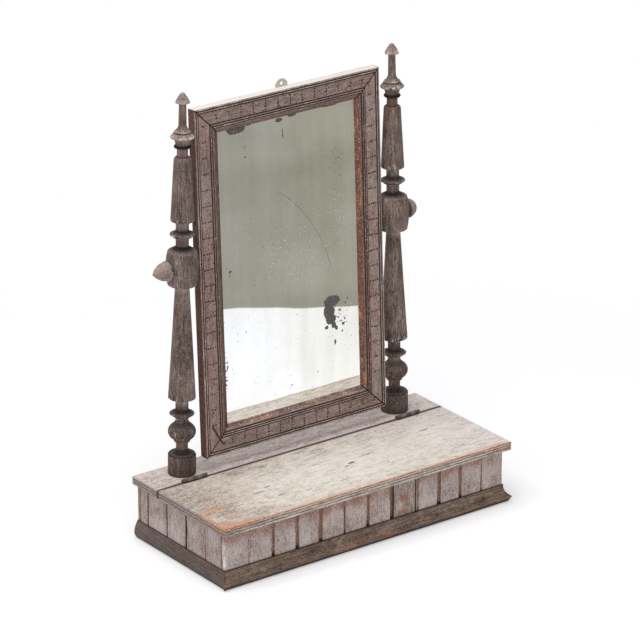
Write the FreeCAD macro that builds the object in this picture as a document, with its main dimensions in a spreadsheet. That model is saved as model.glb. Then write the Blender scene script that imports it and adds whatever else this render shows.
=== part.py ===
"""Table mirror: a low lidded box on a cove plinth, with two turned columns on the fixed strip behind the lid
and a moulded mirror frame that tilts between the columns on two wooden thumb screws.

Millimetres, +Z up. The origin is on the table, under the middle of the top. The front is -Y.
The lid is shut, and the mirror leans back a little, as it stands in use.
"""
import FreeCAD
import Part
import Sketcher
import math
import os

Vector = FreeCAD.Vector
doc = FreeCAD.newDocument("table_mirror")

# Driving dimensions: each is a named cell of the sheet
SIZES = {
    # top boards
    "top_width": 400,
    "top_depth": 179,
    "strip_depth": 50,
    "board_thickness": 10,
    "seam_gap": 0.6,
    "reed_width": 1.0,
    "reed_depth": 0.7,
    # box under the top
    "box_height": 75,
    "side_overhang": 6,
    "front_overhang": 9,
    "back_overhang": 2,
    "wall_thickness": 6,
    "bottom_thickness": 6,
    "front_block_count": 12,
    "front_block_pitch": 32.73,
    "side_block_pitch": 37,
    "side_groove_count": 4,
    "groove_width": 4.2,
    "groove_depth": 2.2,
    "repair_block_number": 8,
    "repair_block_span": 37.6,
    "repair_depth": 3.2,
    "repair_gap": 0.6,
    "plinth_height": 20.5,
    "plinth_projection": 8.5,
    "plinth_lip": 6.8,
    "plinth_edge": 1.2,
    "plinth_undercut": 3.5,
    "plinth_crest": 1.4,
    "round_projection": 5.8,
    "round_belly": 7,
    # columns, from the strip upwards
    "column_setback": 25.5,
    "column_lean": 1.0,
    "tenon_diameter": 14,
    "tenon_length": 9,
    "tenon_clearance": 0.05,
    "line_width": 1.4,
    "line_depth": 0.8,
    "foot_height": 20.3,
    "foot_diameter": 31.6,
    "shoulder_height": 11.3,
    "ankle_height": 5.5,
    "ankle_diameter": 12.8,
    "fillet_height": 2.5,
    "fillet_diameter": 19,
    "bulb_height": 22.5,
    "bulb_diameter": 31.5,
    "neck_diameter": 14.6,
    "bulb_neck_height": 3.5,
    "disc_height": 10,
    "disc_diameter": 28.6,
    "taper_edge": 1.4,
    "lower_neck_height": 12.9,
    "lower_taper_height": 134.1,
    "lower_taper_foot": 31,
    "lower_taper_head": 16,
    "barrel_height": 40,
    "barrel_diameter": 36.4,
    "barrel_rim": 32.6,
    "pivot_in_barrel": 21.5,
    "barrel_slope": 6,
    "middle_neck_height": 9,
    "upper_neck_height": 10.1,
    "upper_taper_height": 71.9,
    "upper_taper_foot": 26.5,
    "upper_taper_head": 19.4,
    "upper_rim_height": 3.5,
    "top_neck_height": 10.4,
    "top_neck_diameter": 12.4,
    "ring_height": 1.6,
    "ring_diameter": 18.8,
    # finials
    "dowel_diameter": 7,
    "dowel_length": 12,
    "dowel_clearance": 0.05,
    "cup_height": 8.5,
    "cup_diameter": 19.4,
    "collar_height": 6.5,
    "collar_diameter": 26.6,
    "flare_height": 11.4,
    "stem_height": 22.1,
    "stem_diameter": 9,
    "acorn_height": 12.2,
    "acorn_diameter": 16.6,
    "tip_flat": 0.8,
    # lid hinges
    "hinge_offset": 150,
    "hinge_length": 33,
    "knuckle_count": 5,
    "knuckle_diameter": 4.5,
    "knuckle_gap": 0.3,
    "leaf_thickness": 1.0,
    "leaf_height": 8,
    "leaf_gap": 0.3,
    "leaf_fit": 0.1,
    "hinge_pin_diameter": 1.8,
    "running_clearance": 0.05,
    "screw_diameter": 2.0,
    "screw_length": 9,
    "screw_head": 3.6,
    # mirror frame
    "frame_width": 252.4,
    "frame_gap": 1.3,
    "frame_above_pivot": 176.5,
    "frame_below_pivot": 230.5,
    "frame_thickness": 12,
    "moulding_width": 32,
    "bead_width": 2.6,
    "bead_height": 1.0,
    "sight_width": 6.5,
    "sight_lip": 1.5,
    "rebate_width": 6,
    "glass_thickness": 2,
    "backboard_thickness": 2.5,
    "glass_clearance": 0.8,
    "sprig_room": 1.8,
    "rest_lean": 2.5,
    # thumb screws
    "shank_diameter": 8,
    "shank_depth": 12,
    "pivot_clearance": 0.08,
    "knob_clearance": 0.4,
    "knob_diameter": 22.4,
    "knob_brim": 4.2,
    "knob_length": 20.5,
    "dome_length": 12.5,
    # small iron
    "nail_diameter": 1.6,
    "nail_length": 18,
    "nail_sink": 0.4,
    "tab_width": 16,
    "tab_rise": 9,
    "tab_drop": 12,
    "tab_thickness": 1.2,
    "tab_hole": 4,
    "wire_diameter": 1.3,
    "wire_clearance": 0.05,
    "wire_hook": 1.5,
    "wire_above_mitre": 18.5,
    "wire_below_mitre": 6.5,
    "wire_slope": 60,
}

sheet = doc.addObject("Spreadsheet::Sheet", "dims")
for row, (size_name, size_value) in enumerate(SIZES.items(), start=1):
    sheet.set(f"A{row}", size_name)
    sheet.set(f"B{row}", str(size_value))
    sheet.setAlias(f"B{row}", size_name)
doc.recompute()

# Places worked out from the driving dimensions, as expressions
HALF_TOP = "(dims.top_width / 2)"
TOP_FRONT = "(-dims.top_depth / 2)"
TOP_BACK = "(dims.top_depth / 2)"
UNDERSIDE = "(dims.box_height - dims.board_thickness)"
SEAM = f"({TOP_BACK} - dims.strip_depth - dims.seam_gap / 2)"
STRIP_FRONT = f"({SEAM} + dims.seam_gap / 2)"
LID_BACK = f"({SEAM} - dims.seam_gap / 2)"
BOX_SIDE = f"({HALF_TOP} - dims.side_overhang)"
BOX_FRONT = f"({TOP_FRONT} + dims.front_overhang)"
BOX_BACK = f"({TOP_BACK} - dims.back_overhang)"
WALL_HEIGHT = f"({UNDERSIDE} - dims.bottom_thickness)"
REPAIR_LEFT = f"(-{BOX_SIDE} + (dims.repair_block_number - 1) * dims.front_block_pitch)"
REPAIR_RIGHT = f"({REPAIR_LEFT} + dims.repair_block_span)"
REST_PITCH = f"(({BOX_SIDE} - {REPAIR_RIGHT}) / (dims.front_block_count - dims.repair_block_number))"
SIDE_CORE = f"({BOX_SIDE} - (dims.groove_depth + dims.wall_thickness) / 2)"
FRONT_CORE = f"({BOX_FRONT} + (dims.repair_depth + dims.wall_thickness) / 2)"
BACK_CORE = f"({BOX_BACK} - dims.wall_thickness / 2)"
COLUMN_Y = f"({TOP_BACK} - dims.column_setback)"
HINGE_Z = "(dims.box_height + dims.knuckle_diameter / 2)"
HALF_FRAME = "(dims.frame_width / 2)"
HALF_THICK = "(dims.frame_thickness / 2)"
FLAT_FACE = f"({HALF_THICK} - dims.bead_height)"
BOARD_BACK = f"(-{HALF_THICK} + dims.sprig_room)"
BOARD_FACE = f"({BOARD_BACK} + dims.backboard_thickness)"
GLASS_FACE = f"({BOARD_FACE} + dims.glass_thickness)"
SIGHT_FACE = f"({GLASS_FACE} + dims.sight_lip)"
INNER_BEAD = "(dims.moulding_width - dims.sight_width - 2 * dims.bead_width)"


def number(expression):
    """The value of an expression on the sheet."""
    return float(sheet.evalExpression(expression))


def plus(*terms):
    """Sum of several expressions."""
    return "(" + " + ".join(terms) + ")"


# Shared steps
def new_body(label):
    body = doc.addObject("PartDesign::Body", label)
    body.Label = label
    return body


def place(item, x="0", y="0", z="0"):
    """Binds an object's position to three expressions."""
    for axis, expression in zip("xyz", (x, y, z)):
        item.setExpression(f"Placement.Base.{axis}", expression)


def sketch_on(body, role, offset="0", turn=None):
    """A sketch on one of the body's own origin planes, moved along its normal and turned in its plane."""
    plane = next(feature for feature in body.Origin.OriginFeatures if feature.Role == role)
    sketch = body.newObject("Sketcher::SketchObject", f"{body.Name}_sketch")
    sketch.AttachmentSupport = [(plane, "")]
    sketch.MapMode = "FlatFace"
    if offset != "0":
        sketch.setExpression("AttachmentOffset.Base.z", offset)
    if turn:
        sketch.AttachmentOffset = FreeCAD.Placement(Vector(), FreeCAD.Rotation(Vector(0, 0, 1), number(turn)))
        sketch.setExpression("AttachmentOffset.Rotation.Angle", turn)
    return sketch


def outline(sketch, points):
    """Draws a closed outline. A point is (x, y) or (x, y, bulge), where bulge, the tangent of a quarter of
    the arc's angle, bends the stretch that leads to that point: positive to the right of the drawing's way."""
    at = [Vector(number(point[0]), number(point[1]), 0) for point in points]
    first = sketch.GeometryCount
    ends = []
    for index, point in enumerate(points):
        start, end = at[index - 1], at[index]
        bulge = point[2] if len(point) > 2 else 0
        if not bulge:
            sketch.addGeometry(Part.LineSegment(start, end))
            ends.append((1, 2))
            continue
        chord = end - start
        middle = (start + end) / 2 + Vector(chord.y, -chord.x, 0) * bulge / 2
        low, high = (start, end) if bulge > 0 else (end, start)
        arc = sketch.addGeometry(Part.Arc(low, middle, high))
        sketch.addConstraint(Sketcher.Constraint("Angle", arc, 4 * math.atan(abs(bulge))))
        ends.append((1, 2) if bulge > 0 else (2, 1))
    count = len(points)
    for index, point in enumerate(points):
        following = (index + 1) % count
        sketch.addConstraint(Sketcher.Constraint(
            "Coincident", first + index, ends[index][1], first + following, ends[following][0]))
        for kind, expression, value in zip(("DistanceX", "DistanceY"), point, (at[index].x, at[index].y)):
            rule = sketch.addConstraint(
                Sketcher.Constraint(kind, -1, 1, first + index, ends[index][1], value))
            sketch.setExpression(f"Constraints[{rule}]", expression)


def rectangle(sketch, left, bottom, right, top):
    outline(sketch, [(left, bottom), (right, bottom), (right, top), (left, top)])


def circle(sketch, x, y, diameter):
    centre = Vector(number(x), number(y), 0)
    ring = sketch.addGeometry(Part.Circle(centre, Vector(0, 0, 1), number(diameter) / 2))
    for kind, expression, value in (("DistanceX", x, centre.x), ("DistanceY", y, centre.y)):
        rule = sketch.addConstraint(Sketcher.Constraint(kind, -1, 1, ring, 3, value))
        sketch.setExpression(f"Constraints[{rule}]", expression)
    rule = sketch.addConstraint(Sketcher.Constraint("Diameter", ring, number(diameter)))
    sketch.setExpression(f"Constraints[{rule}]", diameter)


def sketch_arc(sketch, centre, radius, begin, end):
    """An arc about a centre, anticlockwise between two angles."""
    return sketch.addGeometry(Part.ArcOfCircle(Part.Circle(centre, Vector(0, 0, 1), radius), begin, end))


def pad(body, sketch, length, side="One side", reverse=False):
    feature = body.newObject("PartDesign::Pad", f"{body.Name}_pad")
    feature.Profile = sketch
    feature.SideType = side
    feature.Reversed = reverse
    feature.setExpression("Length", length)
    doc.recompute()
    return feature


def pocket(body, sketch, depth=None, reverse=False):
    """Cuts a sketch to a depth, or right through both ways, and makes sure that it took something away."""
    before = body.Shape.Volume
    feature = body.newObject("PartDesign::Pocket", f"{body.Name}_pocket")
    feature.Profile = sketch
    feature.Reversed = reverse
    if depth is None:
        feature.Type = "ThroughAll"
        feature.SideType = "Symmetric"
    else:
        feature.setExpression("Length", depth)
    doc.recompute()
    if not before - body.Shape.Volume > 0:
        raise ValueError(f"a cut in {body.Label} takes nothing away")
    return feature


def revolve(body, sketch, axis):
    feature = body.newObject("PartDesign::Revolution", f"{body.Name}_turning")
    feature.Profile = sketch
    feature.ReferenceAxis = (sketch, [axis])
    feature.Angle = 360
    doc.recompute()


def repeat(body, cut, sketch, axis, length, count):
    """Copies a cut along a sketch axis."""
    feature = body.newObject("PartDesign::LinearPattern", f"{body.Name}_row")
    feature.Originals = [cut]
    feature.Direction = (sketch, [axis])
    feature.setExpression("Length", length)
    feature.setExpression("Occurrences", count)
    body.Tip = feature
    doc.recompute()


def box(label, length, width, height):
    item = doc.addObject("Part::Box", label)
    item.Label = label
    for name, expression in (("Length", length), ("Width", width), ("Height", height)):
        item.setExpression(name, expression)
    return item


AXIS_TURN = {
    "+x": FreeCAD.Rotation(Vector(0, 1, 0), 90),
    "-x": FreeCAD.Rotation(Vector(0, 1, 0), -90),
    "+y": FreeCAD.Rotation(Vector(1, 0, 0), -90),
    "-y": FreeCAD.Rotation(Vector(1, 0, 0), 90),
    "+z": FreeCAD.Rotation(),
    "-z": FreeCAD.Rotation(Vector(1, 0, 0), 180),
}


def rod(name, diameter, length, along, x, y, z):
    """A cylinder that starts at a point and runs along an axis."""
    item = doc.addObject("Part::Cylinder", name)
    item.setExpression("Radius", f"{diameter} / 2")
    item.setExpression("Height", length)
    item.Placement.Rotation = AXIS_TURN[along]
    place(item, x, y, z)
    return item


def fused(name, shapes):
    item = doc.addObject("Part::MultiFuse", name)
    item.Shapes = shapes
    item.Refine = True
    return item


def cut_from(label, base, tool):
    item = doc.addObject("Part::Cut", label)
    item.Label = label
    item.Base = base
    item.Tool = tool
    return item


def group(label, items):
    """Several like solids in one named piece."""
    item = doc.addObject("Part::Compound", label)
    item.Label = label
    item.Links = items
    return item


def nails(label, spots, along, length="dims.nail_length"):
    """Sunk brads that start at the given points."""
    return group(label, [rod(f"{label}_rod", "dims.nail_diameter", length, along, *spot) for spot in spots])


# Box
def bottom_board():
    item = box("bottom_board", f"2 * {BOX_SIDE}", f"{BOX_BACK} - {BOX_FRONT}", "dims.bottom_thickness")
    place(item, f"-{BOX_SIDE}", BOX_FRONT)
    return item


def front_grooves(body, first, pitch, count):
    """Cuts a row of upright grooves, the first one about a given place and the others a pitch apart."""
    groove = sketch_on(body, "XY_Plane")
    start = f"({first} - dims.groove_width / 2)"
    end = plus(start, "dims.groove_width")
    rectangle(groove, start, BOX_FRONT, end, plus(BOX_FRONT, "dims.groove_depth"))
    cut = pocket(body, groove)
    repeat(body, cut, groove, "H_Axis", f"({count} - 1) * {pitch}", count)


def front_wall():
    """Board with a deeper bed for the let-in block, and a row of upright grooves on either side of it."""
    body = new_body("front_wall")
    place(body, z="dims.bottom_thickness")
    board = sketch_on(body, "XY_Plane")
    rectangle(board, f"-{BOX_SIDE}", BOX_FRONT, BOX_SIDE, plus(BOX_FRONT, "dims.wall_thickness"))
    pad(body, board, WALL_HEIGHT)
    bed = sketch_on(body, "XY_Plane")
    rectangle(bed, plus(REPAIR_LEFT, "dims.groove_width / 2"), BOX_FRONT,
              f"({REPAIR_RIGHT} - dims.groove_width / 2)", plus(BOX_FRONT, "dims.repair_depth"))
    pocket(body, bed)
    front_grooves(body, f"(-{BOX_SIDE} + dims.front_block_pitch)", "dims.front_block_pitch",
                  "(dims.repair_block_number - 1)")
    front_grooves(body, REPAIR_RIGHT, REST_PITCH, "(dims.front_block_count - dims.repair_block_number)")
    return body


def repair_block():
    """Let-in block, a little smaller than its bed at both sides and at the top."""
    width = "(dims.repair_block_span - dims.groove_width - 2 * dims.repair_gap)"
    item = box("repair_block", width, "dims.repair_depth", f"{WALL_HEIGHT} - dims.repair_gap")
    left = f"{REPAIR_LEFT} + (dims.repair_block_span - {width}) / 2"
    place(item, left, BOX_FRONT, "dims.bottom_thickness")
    return item


def back_wall():
    item = box("back_wall", f"2 * {BOX_SIDE}", "dims.wall_thickness", WALL_HEIGHT)
    place(item, f"-{BOX_SIDE}", f"{BOX_BACK} - dims.wall_thickness", "dims.bottom_thickness")
    return item


def side_wall(label, side):
    """Board between the front and back walls, grooved on its outer face from the front corner backwards."""
    body = new_body(label)
    place(body, z="dims.bottom_thickness")
    outer = f"({side} * {BOX_SIDE})"
    board = sketch_on(body, "XY_Plane")
    corners = sorted((outer, f"({outer} - {side} * dims.wall_thickness)"), key=number)
    rectangle(board, corners[0], plus(BOX_FRONT, "dims.wall_thickness"),
              corners[1], f"({BOX_BACK} - dims.wall_thickness)")
    pad(body, board, WALL_HEIGHT)
    groove = sketch_on(body, "XY_Plane")
    corners = sorted((outer, f"({outer} - {side} * dims.groove_depth)"), key=number)
    start = f"({BOX_FRONT} + dims.side_block_pitch - dims.groove_width / 2)"
    rectangle(groove, corners[0], start, corners[1], plus(start, "dims.groove_width"))
    cut = pocket(body, groove)
    repeat(body, cut, groove, "V_Axis", "(dims.side_groove_count - 1) * dims.side_block_pitch",
           "dims.side_groove_count")
    return body


def cove_profile(wall, out):
    """Plinth section: a thin lip, cut back under it to the foot, and a hollow that sweeps up to a crest. wall
    is the wall's face and out is +1 or -1, the way that the plinth stands out from it."""
    foot = f"({wall} + {out} * (dims.plinth_projection - dims.plinth_undercut))"
    lip = f"({wall} + {out} * dims.plinth_projection)"
    crest = f"({wall} + {out} * dims.plinth_crest)"
    return [
        (wall, "0"),
        (foot, "0"),
        (lip, "(dims.plinth_lip - dims.plinth_edge)"),
        (lip, "dims.plinth_lip"),
        (crest, "dims.plinth_height", -0.32 * out),
        (wall, "dims.plinth_height"),
    ]


def round_profile(wall, out):
    """Section of the rounded plinth: full below, falling back in a long swell to the wall."""
    foot = f"({wall} + {out} * 0.5 * dims.round_projection)"
    belly = f"({wall} + {out} * dims.round_projection)"
    crest = f"({wall} + {out} * dims.plinth_crest / 2)"
    return [
        (wall, "0"),
        (foot, "0"),
        (belly, "dims.round_belly", 0.2 * out),
        (crest, "dims.plinth_height", 0.14 * out),
        (wall, "dims.plinth_height"),
    ]


def plinth_front():
    body = new_body("plinth_front")
    section = sketch_on(body, "YZ_Plane")
    outline(section, cove_profile(BOX_FRONT, -1))
    pad(body, section, f"2 * ({BOX_SIDE} + dims.plinth_projection)", side="Symmetric")
    mitres = sketch_on(body, "XY_Plane")
    front = f"({BOX_FRONT} - dims.plinth_projection)"
    for side in (-1, 1):
        corner = f"({side} * ({BOX_SIDE} + dims.plinth_projection))"
        outline(mitres, [(f"({side} * {BOX_SIDE})", BOX_FRONT), (corner, front), (corner, BOX_FRONT)])
    pocket(body, mitres)
    return body


def plinth_side(label, side, profile):
    body = new_body(label)
    section = sketch_on(body, "XZ_Plane", offset=f"-{BOX_BACK}")
    wall = f"({side} * {BOX_SIDE})"
    outline(section, profile(wall, side))
    pad(body, section, f"{BOX_BACK} - {BOX_FRONT} + dims.plinth_projection")
    mitre = sketch_on(body, "XY_Plane")
    front = f"({BOX_FRONT} - dims.plinth_projection)"
    corner = f"({side} * ({BOX_SIDE} + dims.plinth_projection))"
    outline(mitre, [(wall, BOX_FRONT), (wall, front), (corner, front)])
    pocket(body, mitre)
    return body


# Top boards
def reeds(sketch, face, inward):
    """Two small V grooves in a board's edge, which leave three reeds. face is the edge's place and inward is
    the way into the board."""
    for share in (1, 2):
        middle = f"({share} * dims.board_thickness / 3)"
        outline(sketch, [
            (face, f"({middle} - dims.reed_width / 2)"),
            (f"({face} + {inward} * dims.reed_depth)", middle),
            (face, f"({middle} + dims.reed_width / 2)"),
        ])


def top_board(label, front, back, reeded_edge, inward, hinge_edge, recess):
    """Flat board with reeds on its ends and on one long edge, and beds for the hinge leaves in the other."""
    body = new_body(label)
    place(body, z=UNDERSIDE)
    board = sketch_on(body, "XY_Plane")
    rectangle(board, f"-{HALF_TOP}", front, HALF_TOP, back)
    pad(body, board, "dims.board_thickness")
    ends = sketch_on(body, "XZ_Plane")
    reeds(ends, f"(-{HALF_TOP})", 1)
    reeds(ends, HALF_TOP, -1)
    pocket(body, ends)
    edge = sketch_on(body, "YZ_Plane")
    reeds(edge, reeded_edge, inward)
    pocket(body, edge)
    beds = sketch_on(body, "XY_Plane", offset="dims.board_thickness")
    half_bed = "(dims.hinge_length / 2 + dims.leaf_fit)"
    low, high = sorted((hinge_edge, recess), key=number)
    for side in (-1, 1):
        rectangle(beds, f"({side} * dims.hinge_offset - {half_bed})", low,
                  f"({side} * dims.hinge_offset + {half_bed})", high)
    pocket(body, beds, "dims.leaf_height")
    return body


def top_strip():
    recess = f"({SEAM} + dims.leaf_gap / 2 + dims.leaf_thickness)"
    body = top_board("top_strip", STRIP_FRONT, TOP_BACK, TOP_BACK, -1, STRIP_FRONT, recess)
    mortises = sketch_on(body, "XY_Plane")
    for side in (-1, 1):
        circle(mortises, f"{side} * {COLUMN_X}", COLUMN_Y, "dims.tenon_diameter + 2 * dims.tenon_clearance")
    pocket(body, mortises)
    return body


def lid():
    recess = f"({SEAM} - dims.leaf_gap / 2 - dims.leaf_thickness)"
    return top_board("lid", TOP_FRONT, LID_BACK, TOP_FRONT, 1, LID_BACK, recess)


# Columns
class Turning:
    """Outline of a turned piece: points stacked upwards, each given by its rise, diameter and bulge."""

    def __init__(self, floor, diameter):
        self.terms = [floor]
        self.level = floor
        self.points = [(f"{diameter} / 2", floor)]

    def rise(self, height, diameter, bulge=0):
        self.terms.append(height)
        self.level = plus(*self.terms)
        self.points.append((f"({diameter}) / 2", self.level, bulge))

    def step(self, diameter):
        self.points.append((f"({diameter}) / 2", self.level))

    def line(self, diameter):
        """A burnt-in line: a small V groove."""
        self.rise("dims.line_width / 2", f"({diameter} - 2 * dims.line_depth)")
        self.rise("dims.line_width / 2", diameter)

    def disc(self):
        """A disc: a small ring, a groove, a thin rim, and a hollow slope up to the neck."""
        self.rise("0.24 * dims.disc_height", "0.76 * dims.disc_diameter")
        self.rise("0.08 * dims.disc_height", "0.76 * dims.disc_diameter", 0.3)
        self.rise("0.06 * dims.disc_height", "0.68 * dims.disc_diameter")
        self.rise("0.1 * dims.disc_height", "0.97 * dims.disc_diameter")
        self.rise("0.1 * dims.disc_height", "0.97 * dims.disc_diameter", 0.4)
        self.rise("0.42 * dims.disc_height", "dims.neck_diameter", -0.15)


def column_turning():
    """The column from under its foot to the top of the ring below the finial."""
    trim = "dims.foot_diameter * tan(dims.column_lean)"
    turning = Turning(f"(-{trim})", "dims.foot_diameter")
    turning.rise(f"{trim} + dims.foot_height", "dims.foot_diameter")
    turning.line("dims.foot_diameter")
    turning.rise("0.25 * dims.shoulder_height", "dims.foot_diameter - dims.line_depth", 0.1)
    turning.rise("0.45 * dims.shoulder_height", "1.5 * dims.ankle_diameter", 0.3)
    turning.rise("0.3 * dims.shoulder_height", "dims.ankle_diameter", -0.3)
    turning.rise("dims.ankle_height", "dims.ankle_diameter")
    turning.step("dims.fillet_diameter - dims.line_width")
    turning.rise("dims.fillet_height", "dims.fillet_diameter - dims.line_width", 0.4)
    turning.rise("0.4 * dims.bulb_height", "dims.bulb_diameter", 0.28)
    turning.rise("0.35 * dims.bulb_height", "0.785 * dims.bulb_diameter", 0.22)
    turning.rise("0.25 * dims.bulb_height", "dims.neck_diameter", -0.12)
    turning.rise("dims.bulb_neck_height", "dims.neck_diameter")
    turning.disc()
    turning.rise("dims.lower_neck_height", "dims.neck_diameter")
    turning.rise("dims.taper_edge", "dims.lower_taper_foot", 0.2)
    turning.rise("dims.lower_taper_height - dims.taper_edge", "dims.lower_taper_head")
    barrel_foot = turning.level
    turning.rise("dims.taper_edge", "dims.barrel_rim - dims.line_width", 0.1)
    turning.rise("0.04 * dims.pivot_in_barrel", "dims.barrel_rim", 0.25)
    turning.rise("0.96 * dims.pivot_in_barrel - dims.taper_edge", "dims.barrel_diameter", 0.05)
    turning.rise("dims.barrel_height - dims.pivot_in_barrel", "dims.barrel_rim", 0.08)
    turning.rise("0.2 * dims.barrel_slope", "dims.barrel_rim - dims.line_width", 0.3)
    turning.rise("0.8 * dims.barrel_slope", "dims.neck_diameter")
    turning.rise("dims.middle_neck_height", "dims.neck_diameter")
    turning.disc()
    turning.rise("dims.upper_neck_height", "dims.neck_diameter")
    turning.rise("dims.taper_edge", "dims.upper_taper_foot", 0.2)
    turning.rise("dims.upper_taper_height - dims.taper_edge", "dims.upper_taper_head")
    turning.rise("dims.upper_rim_height", "dims.top_neck_diameter", 0.3)
    turning.rise("dims.top_neck_height", "dims.top_neck_diameter")
    turning.step("dims.ring_diameter")
    turning.rise("dims.ring_height", "dims.ring_diameter", 0.2)
    return turning, plus(barrel_foot, "dims.pivot_in_barrel")


COLUMN_TURNING, PIVOT_RISE = column_turning()
RING_TOP = COLUMN_TURNING.level
PIVOT_X = f"({HALF_FRAME} + dims.frame_gap + dims.barrel_diameter / 2)"
COLUMN_X = f"({PIVOT_X} + {PIVOT_RISE} * tan(dims.column_lean))"
PIVOT_Z = f"(dims.box_height + {PIVOT_RISE})"


def column(label, side):
    """Turned column, leaning inwards a little, sawn level under its foot, with a tenon below, a cross bore
    for the thumb screw and a socket on top for the finial."""
    body = new_body(label)
    place(body, f"{side} * {COLUMN_X}", COLUMN_Y, "dims.box_height")
    profile = sketch_on(body, "XZ_Plane", turn=f"{side} * dims.column_lean")
    socket = "(dims.dowel_diameter / 2 + dims.dowel_clearance)"
    socket_floor = f"({RING_TOP} - dims.dowel_length - dims.dowel_clearance)"
    outline(profile, [("0", COLUMN_TURNING.points[0][1])] + COLUMN_TURNING.points
            + [(socket, RING_TOP), (socket, socket_floor), ("0", socket_floor)])
    revolve(body, profile, "V_Axis")
    level = sketch_on(body, "XY_Plane")
    circle(level, "0", "0", "2 * dims.foot_diameter")
    pocket(body, level, "2 * dims.foot_diameter * tan(dims.column_lean)")
    tenon = sketch_on(body, "XY_Plane")
    circle(tenon, "0", "0", "dims.tenon_diameter")
    pad(body, tenon, "dims.tenon_length", reverse=True)
    bore = sketch_on(body, "YZ_Plane")
    circle(bore, "0", PIVOT_RISE, "dims.shank_diameter + 2 * dims.pivot_clearance")
    pocket(body, bore)
    return body


def finial(label, side):
    """Cup, collar, slim stem and pointed acorn, on a dowel that stands in the column."""
    body = new_body(label)
    place(body, f"{side} * {COLUMN_X}", COLUMN_Y, "dims.box_height")
    turning = Turning(f"({RING_TOP} - dims.dowel_length)", "dims.dowel_diameter")
    turning.rise("dims.dowel_length", "dims.dowel_diameter")
    turning.step("0.8 * dims.cup_diameter")
    turning.rise("dims.cup_height", "dims.cup_diameter", -0.1)
    turning.rise("0.15 * dims.collar_height", "dims.collar_diameter")
    turning.rise("0.2 * dims.collar_height", "dims.collar_diameter", 0.4)
    turning.rise("0.65 * dims.collar_height", "dims.cup_diameter")
    turning.line("dims.cup_diameter")
    turning.rise("dims.flare_height - dims.line_width", "dims.stem_diameter", -0.3)
    turning.rise("dims.stem_height", "0.9 * dims.stem_diameter")
    turning.rise("0.08 * dims.acorn_height", "dims.acorn_diameter", 0.1)
    turning.rise("0.755 * dims.acorn_height", "0.36 * dims.acorn_diameter", 0.06)
    turning.rise("0.165 * dims.acorn_height", "dims.tip_flat", 0.3)
    turning.step("0")
    profile = sketch_on(body, "XZ_Plane", turn=f"{side} * dims.column_lean")
    outline(profile, [("0", turning.points[0][1])] + turning.points)
    revolve(body, profile, "V_Axis")
    return body


# Lid hinges
KNUCKLE_LENGTH = "((dims.hinge_length - (dims.knuckle_count - 1) * dims.knuckle_gap) / dims.knuckle_count)"


def leaf_screws(label, side):
    """Countersunk screws of one set of leaves. side is +1 into the strip and -1 into the lid."""
    along = "+y" if side > 0 else "-y"
    face = f"({SEAM} + {side} * dims.leaf_gap / 2)"
    height = "(dims.box_height - dims.leaf_height / 2)"
    screws = []
    for hinge in (-1, 1):
        for share in (-0.3, 0.3):
            x = f"({hinge} * dims.hinge_offset + {share} * dims.hinge_length)"
            shank = rod(f"{label}_shank", "dims.screw_diameter", "dims.screw_length", along, x, face, height)
            head = doc.addObject("Part::Cone", f"{label}_head")
            head.setExpression("Radius1", "dims.screw_head / 2")
            head.setExpression("Radius2", "dims.screw_diameter / 2")
            head.setExpression("Height", "(dims.screw_head - dims.screw_diameter) / 2")
            head.Placement.Rotation = AXIS_TURN[along]
            place(head, x, face, height)
            screws.append(fused(f"{label}_screw", [shank, head]))
    return group(label, screws)


def hinge_leaf(label, hinge, side, screws):
    """Plate let into a board's edge, with every second knuckle of the barrel above it. The strip's leaf has
    the outer knuckles."""
    left = f"({hinge} * dims.hinge_offset - dims.hinge_length / 2)"
    near = f"({SEAM} + {side} * dims.leaf_gap / 2)"
    back = near if side > 0 else f"({near} - dims.leaf_thickness)"
    bottom = "(dims.box_height - dims.leaf_height)"
    plate = box(f"{label}_plate", "dims.hinge_length", "dims.leaf_thickness",
                "dims.leaf_height - dims.knuckle_gap")
    place(plate, left, back, bottom)
    shapes = [plate]
    first = 0 if side > 0 else 1
    for index in range(first, int(number("dims.knuckle_count")), 2):
        x = f"({left} + {index} * ({KNUCKLE_LENGTH} + dims.knuckle_gap))"
        web = box(f"{label}_web", KNUCKLE_LENGTH, "dims.leaf_thickness", f"{HINGE_Z} - {bottom}")
        place(web, x, back, bottom)
        knuckle = rod(f"{label}_knuckle", "dims.knuckle_diameter", KNUCKLE_LENGTH, "+x", x, SEAM, HINGE_Z)
        shapes += [web, knuckle]
    bore = rod(f"{label}_bore", "(dims.hinge_pin_diameter + 2 * dims.running_clearance)", "dims.hinge_length",
               "+x", left, SEAM, HINGE_Z)
    return cut_from(label, cut_from(f"{label}_bored", fused(f"{label}_blank", shapes), bore), screws)


def hinge_pin(label, hinge):
    left = f"({hinge} * dims.hinge_offset - dims.hinge_length / 2)"
    item = rod(label, "dims.hinge_pin_diameter", "dims.hinge_length", "+x", left, SEAM, HINGE_Z)
    item.Label = label
    return item


# Mirror
def ride_mirror(item):
    """Puts a piece drawn about the pivot line into the mirror's place, leaning back by its rest angle."""
    item.Placement = FreeCAD.Placement(Vector(), FreeCAD.Rotation(Vector(-1, 0, 0), number("dims.rest_lean")))
    place(item, "0", COLUMN_Y, PIVOT_Z)
    item.setExpression("Placement.Rotation.Angle", "dims.rest_lean")
    return item


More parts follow.
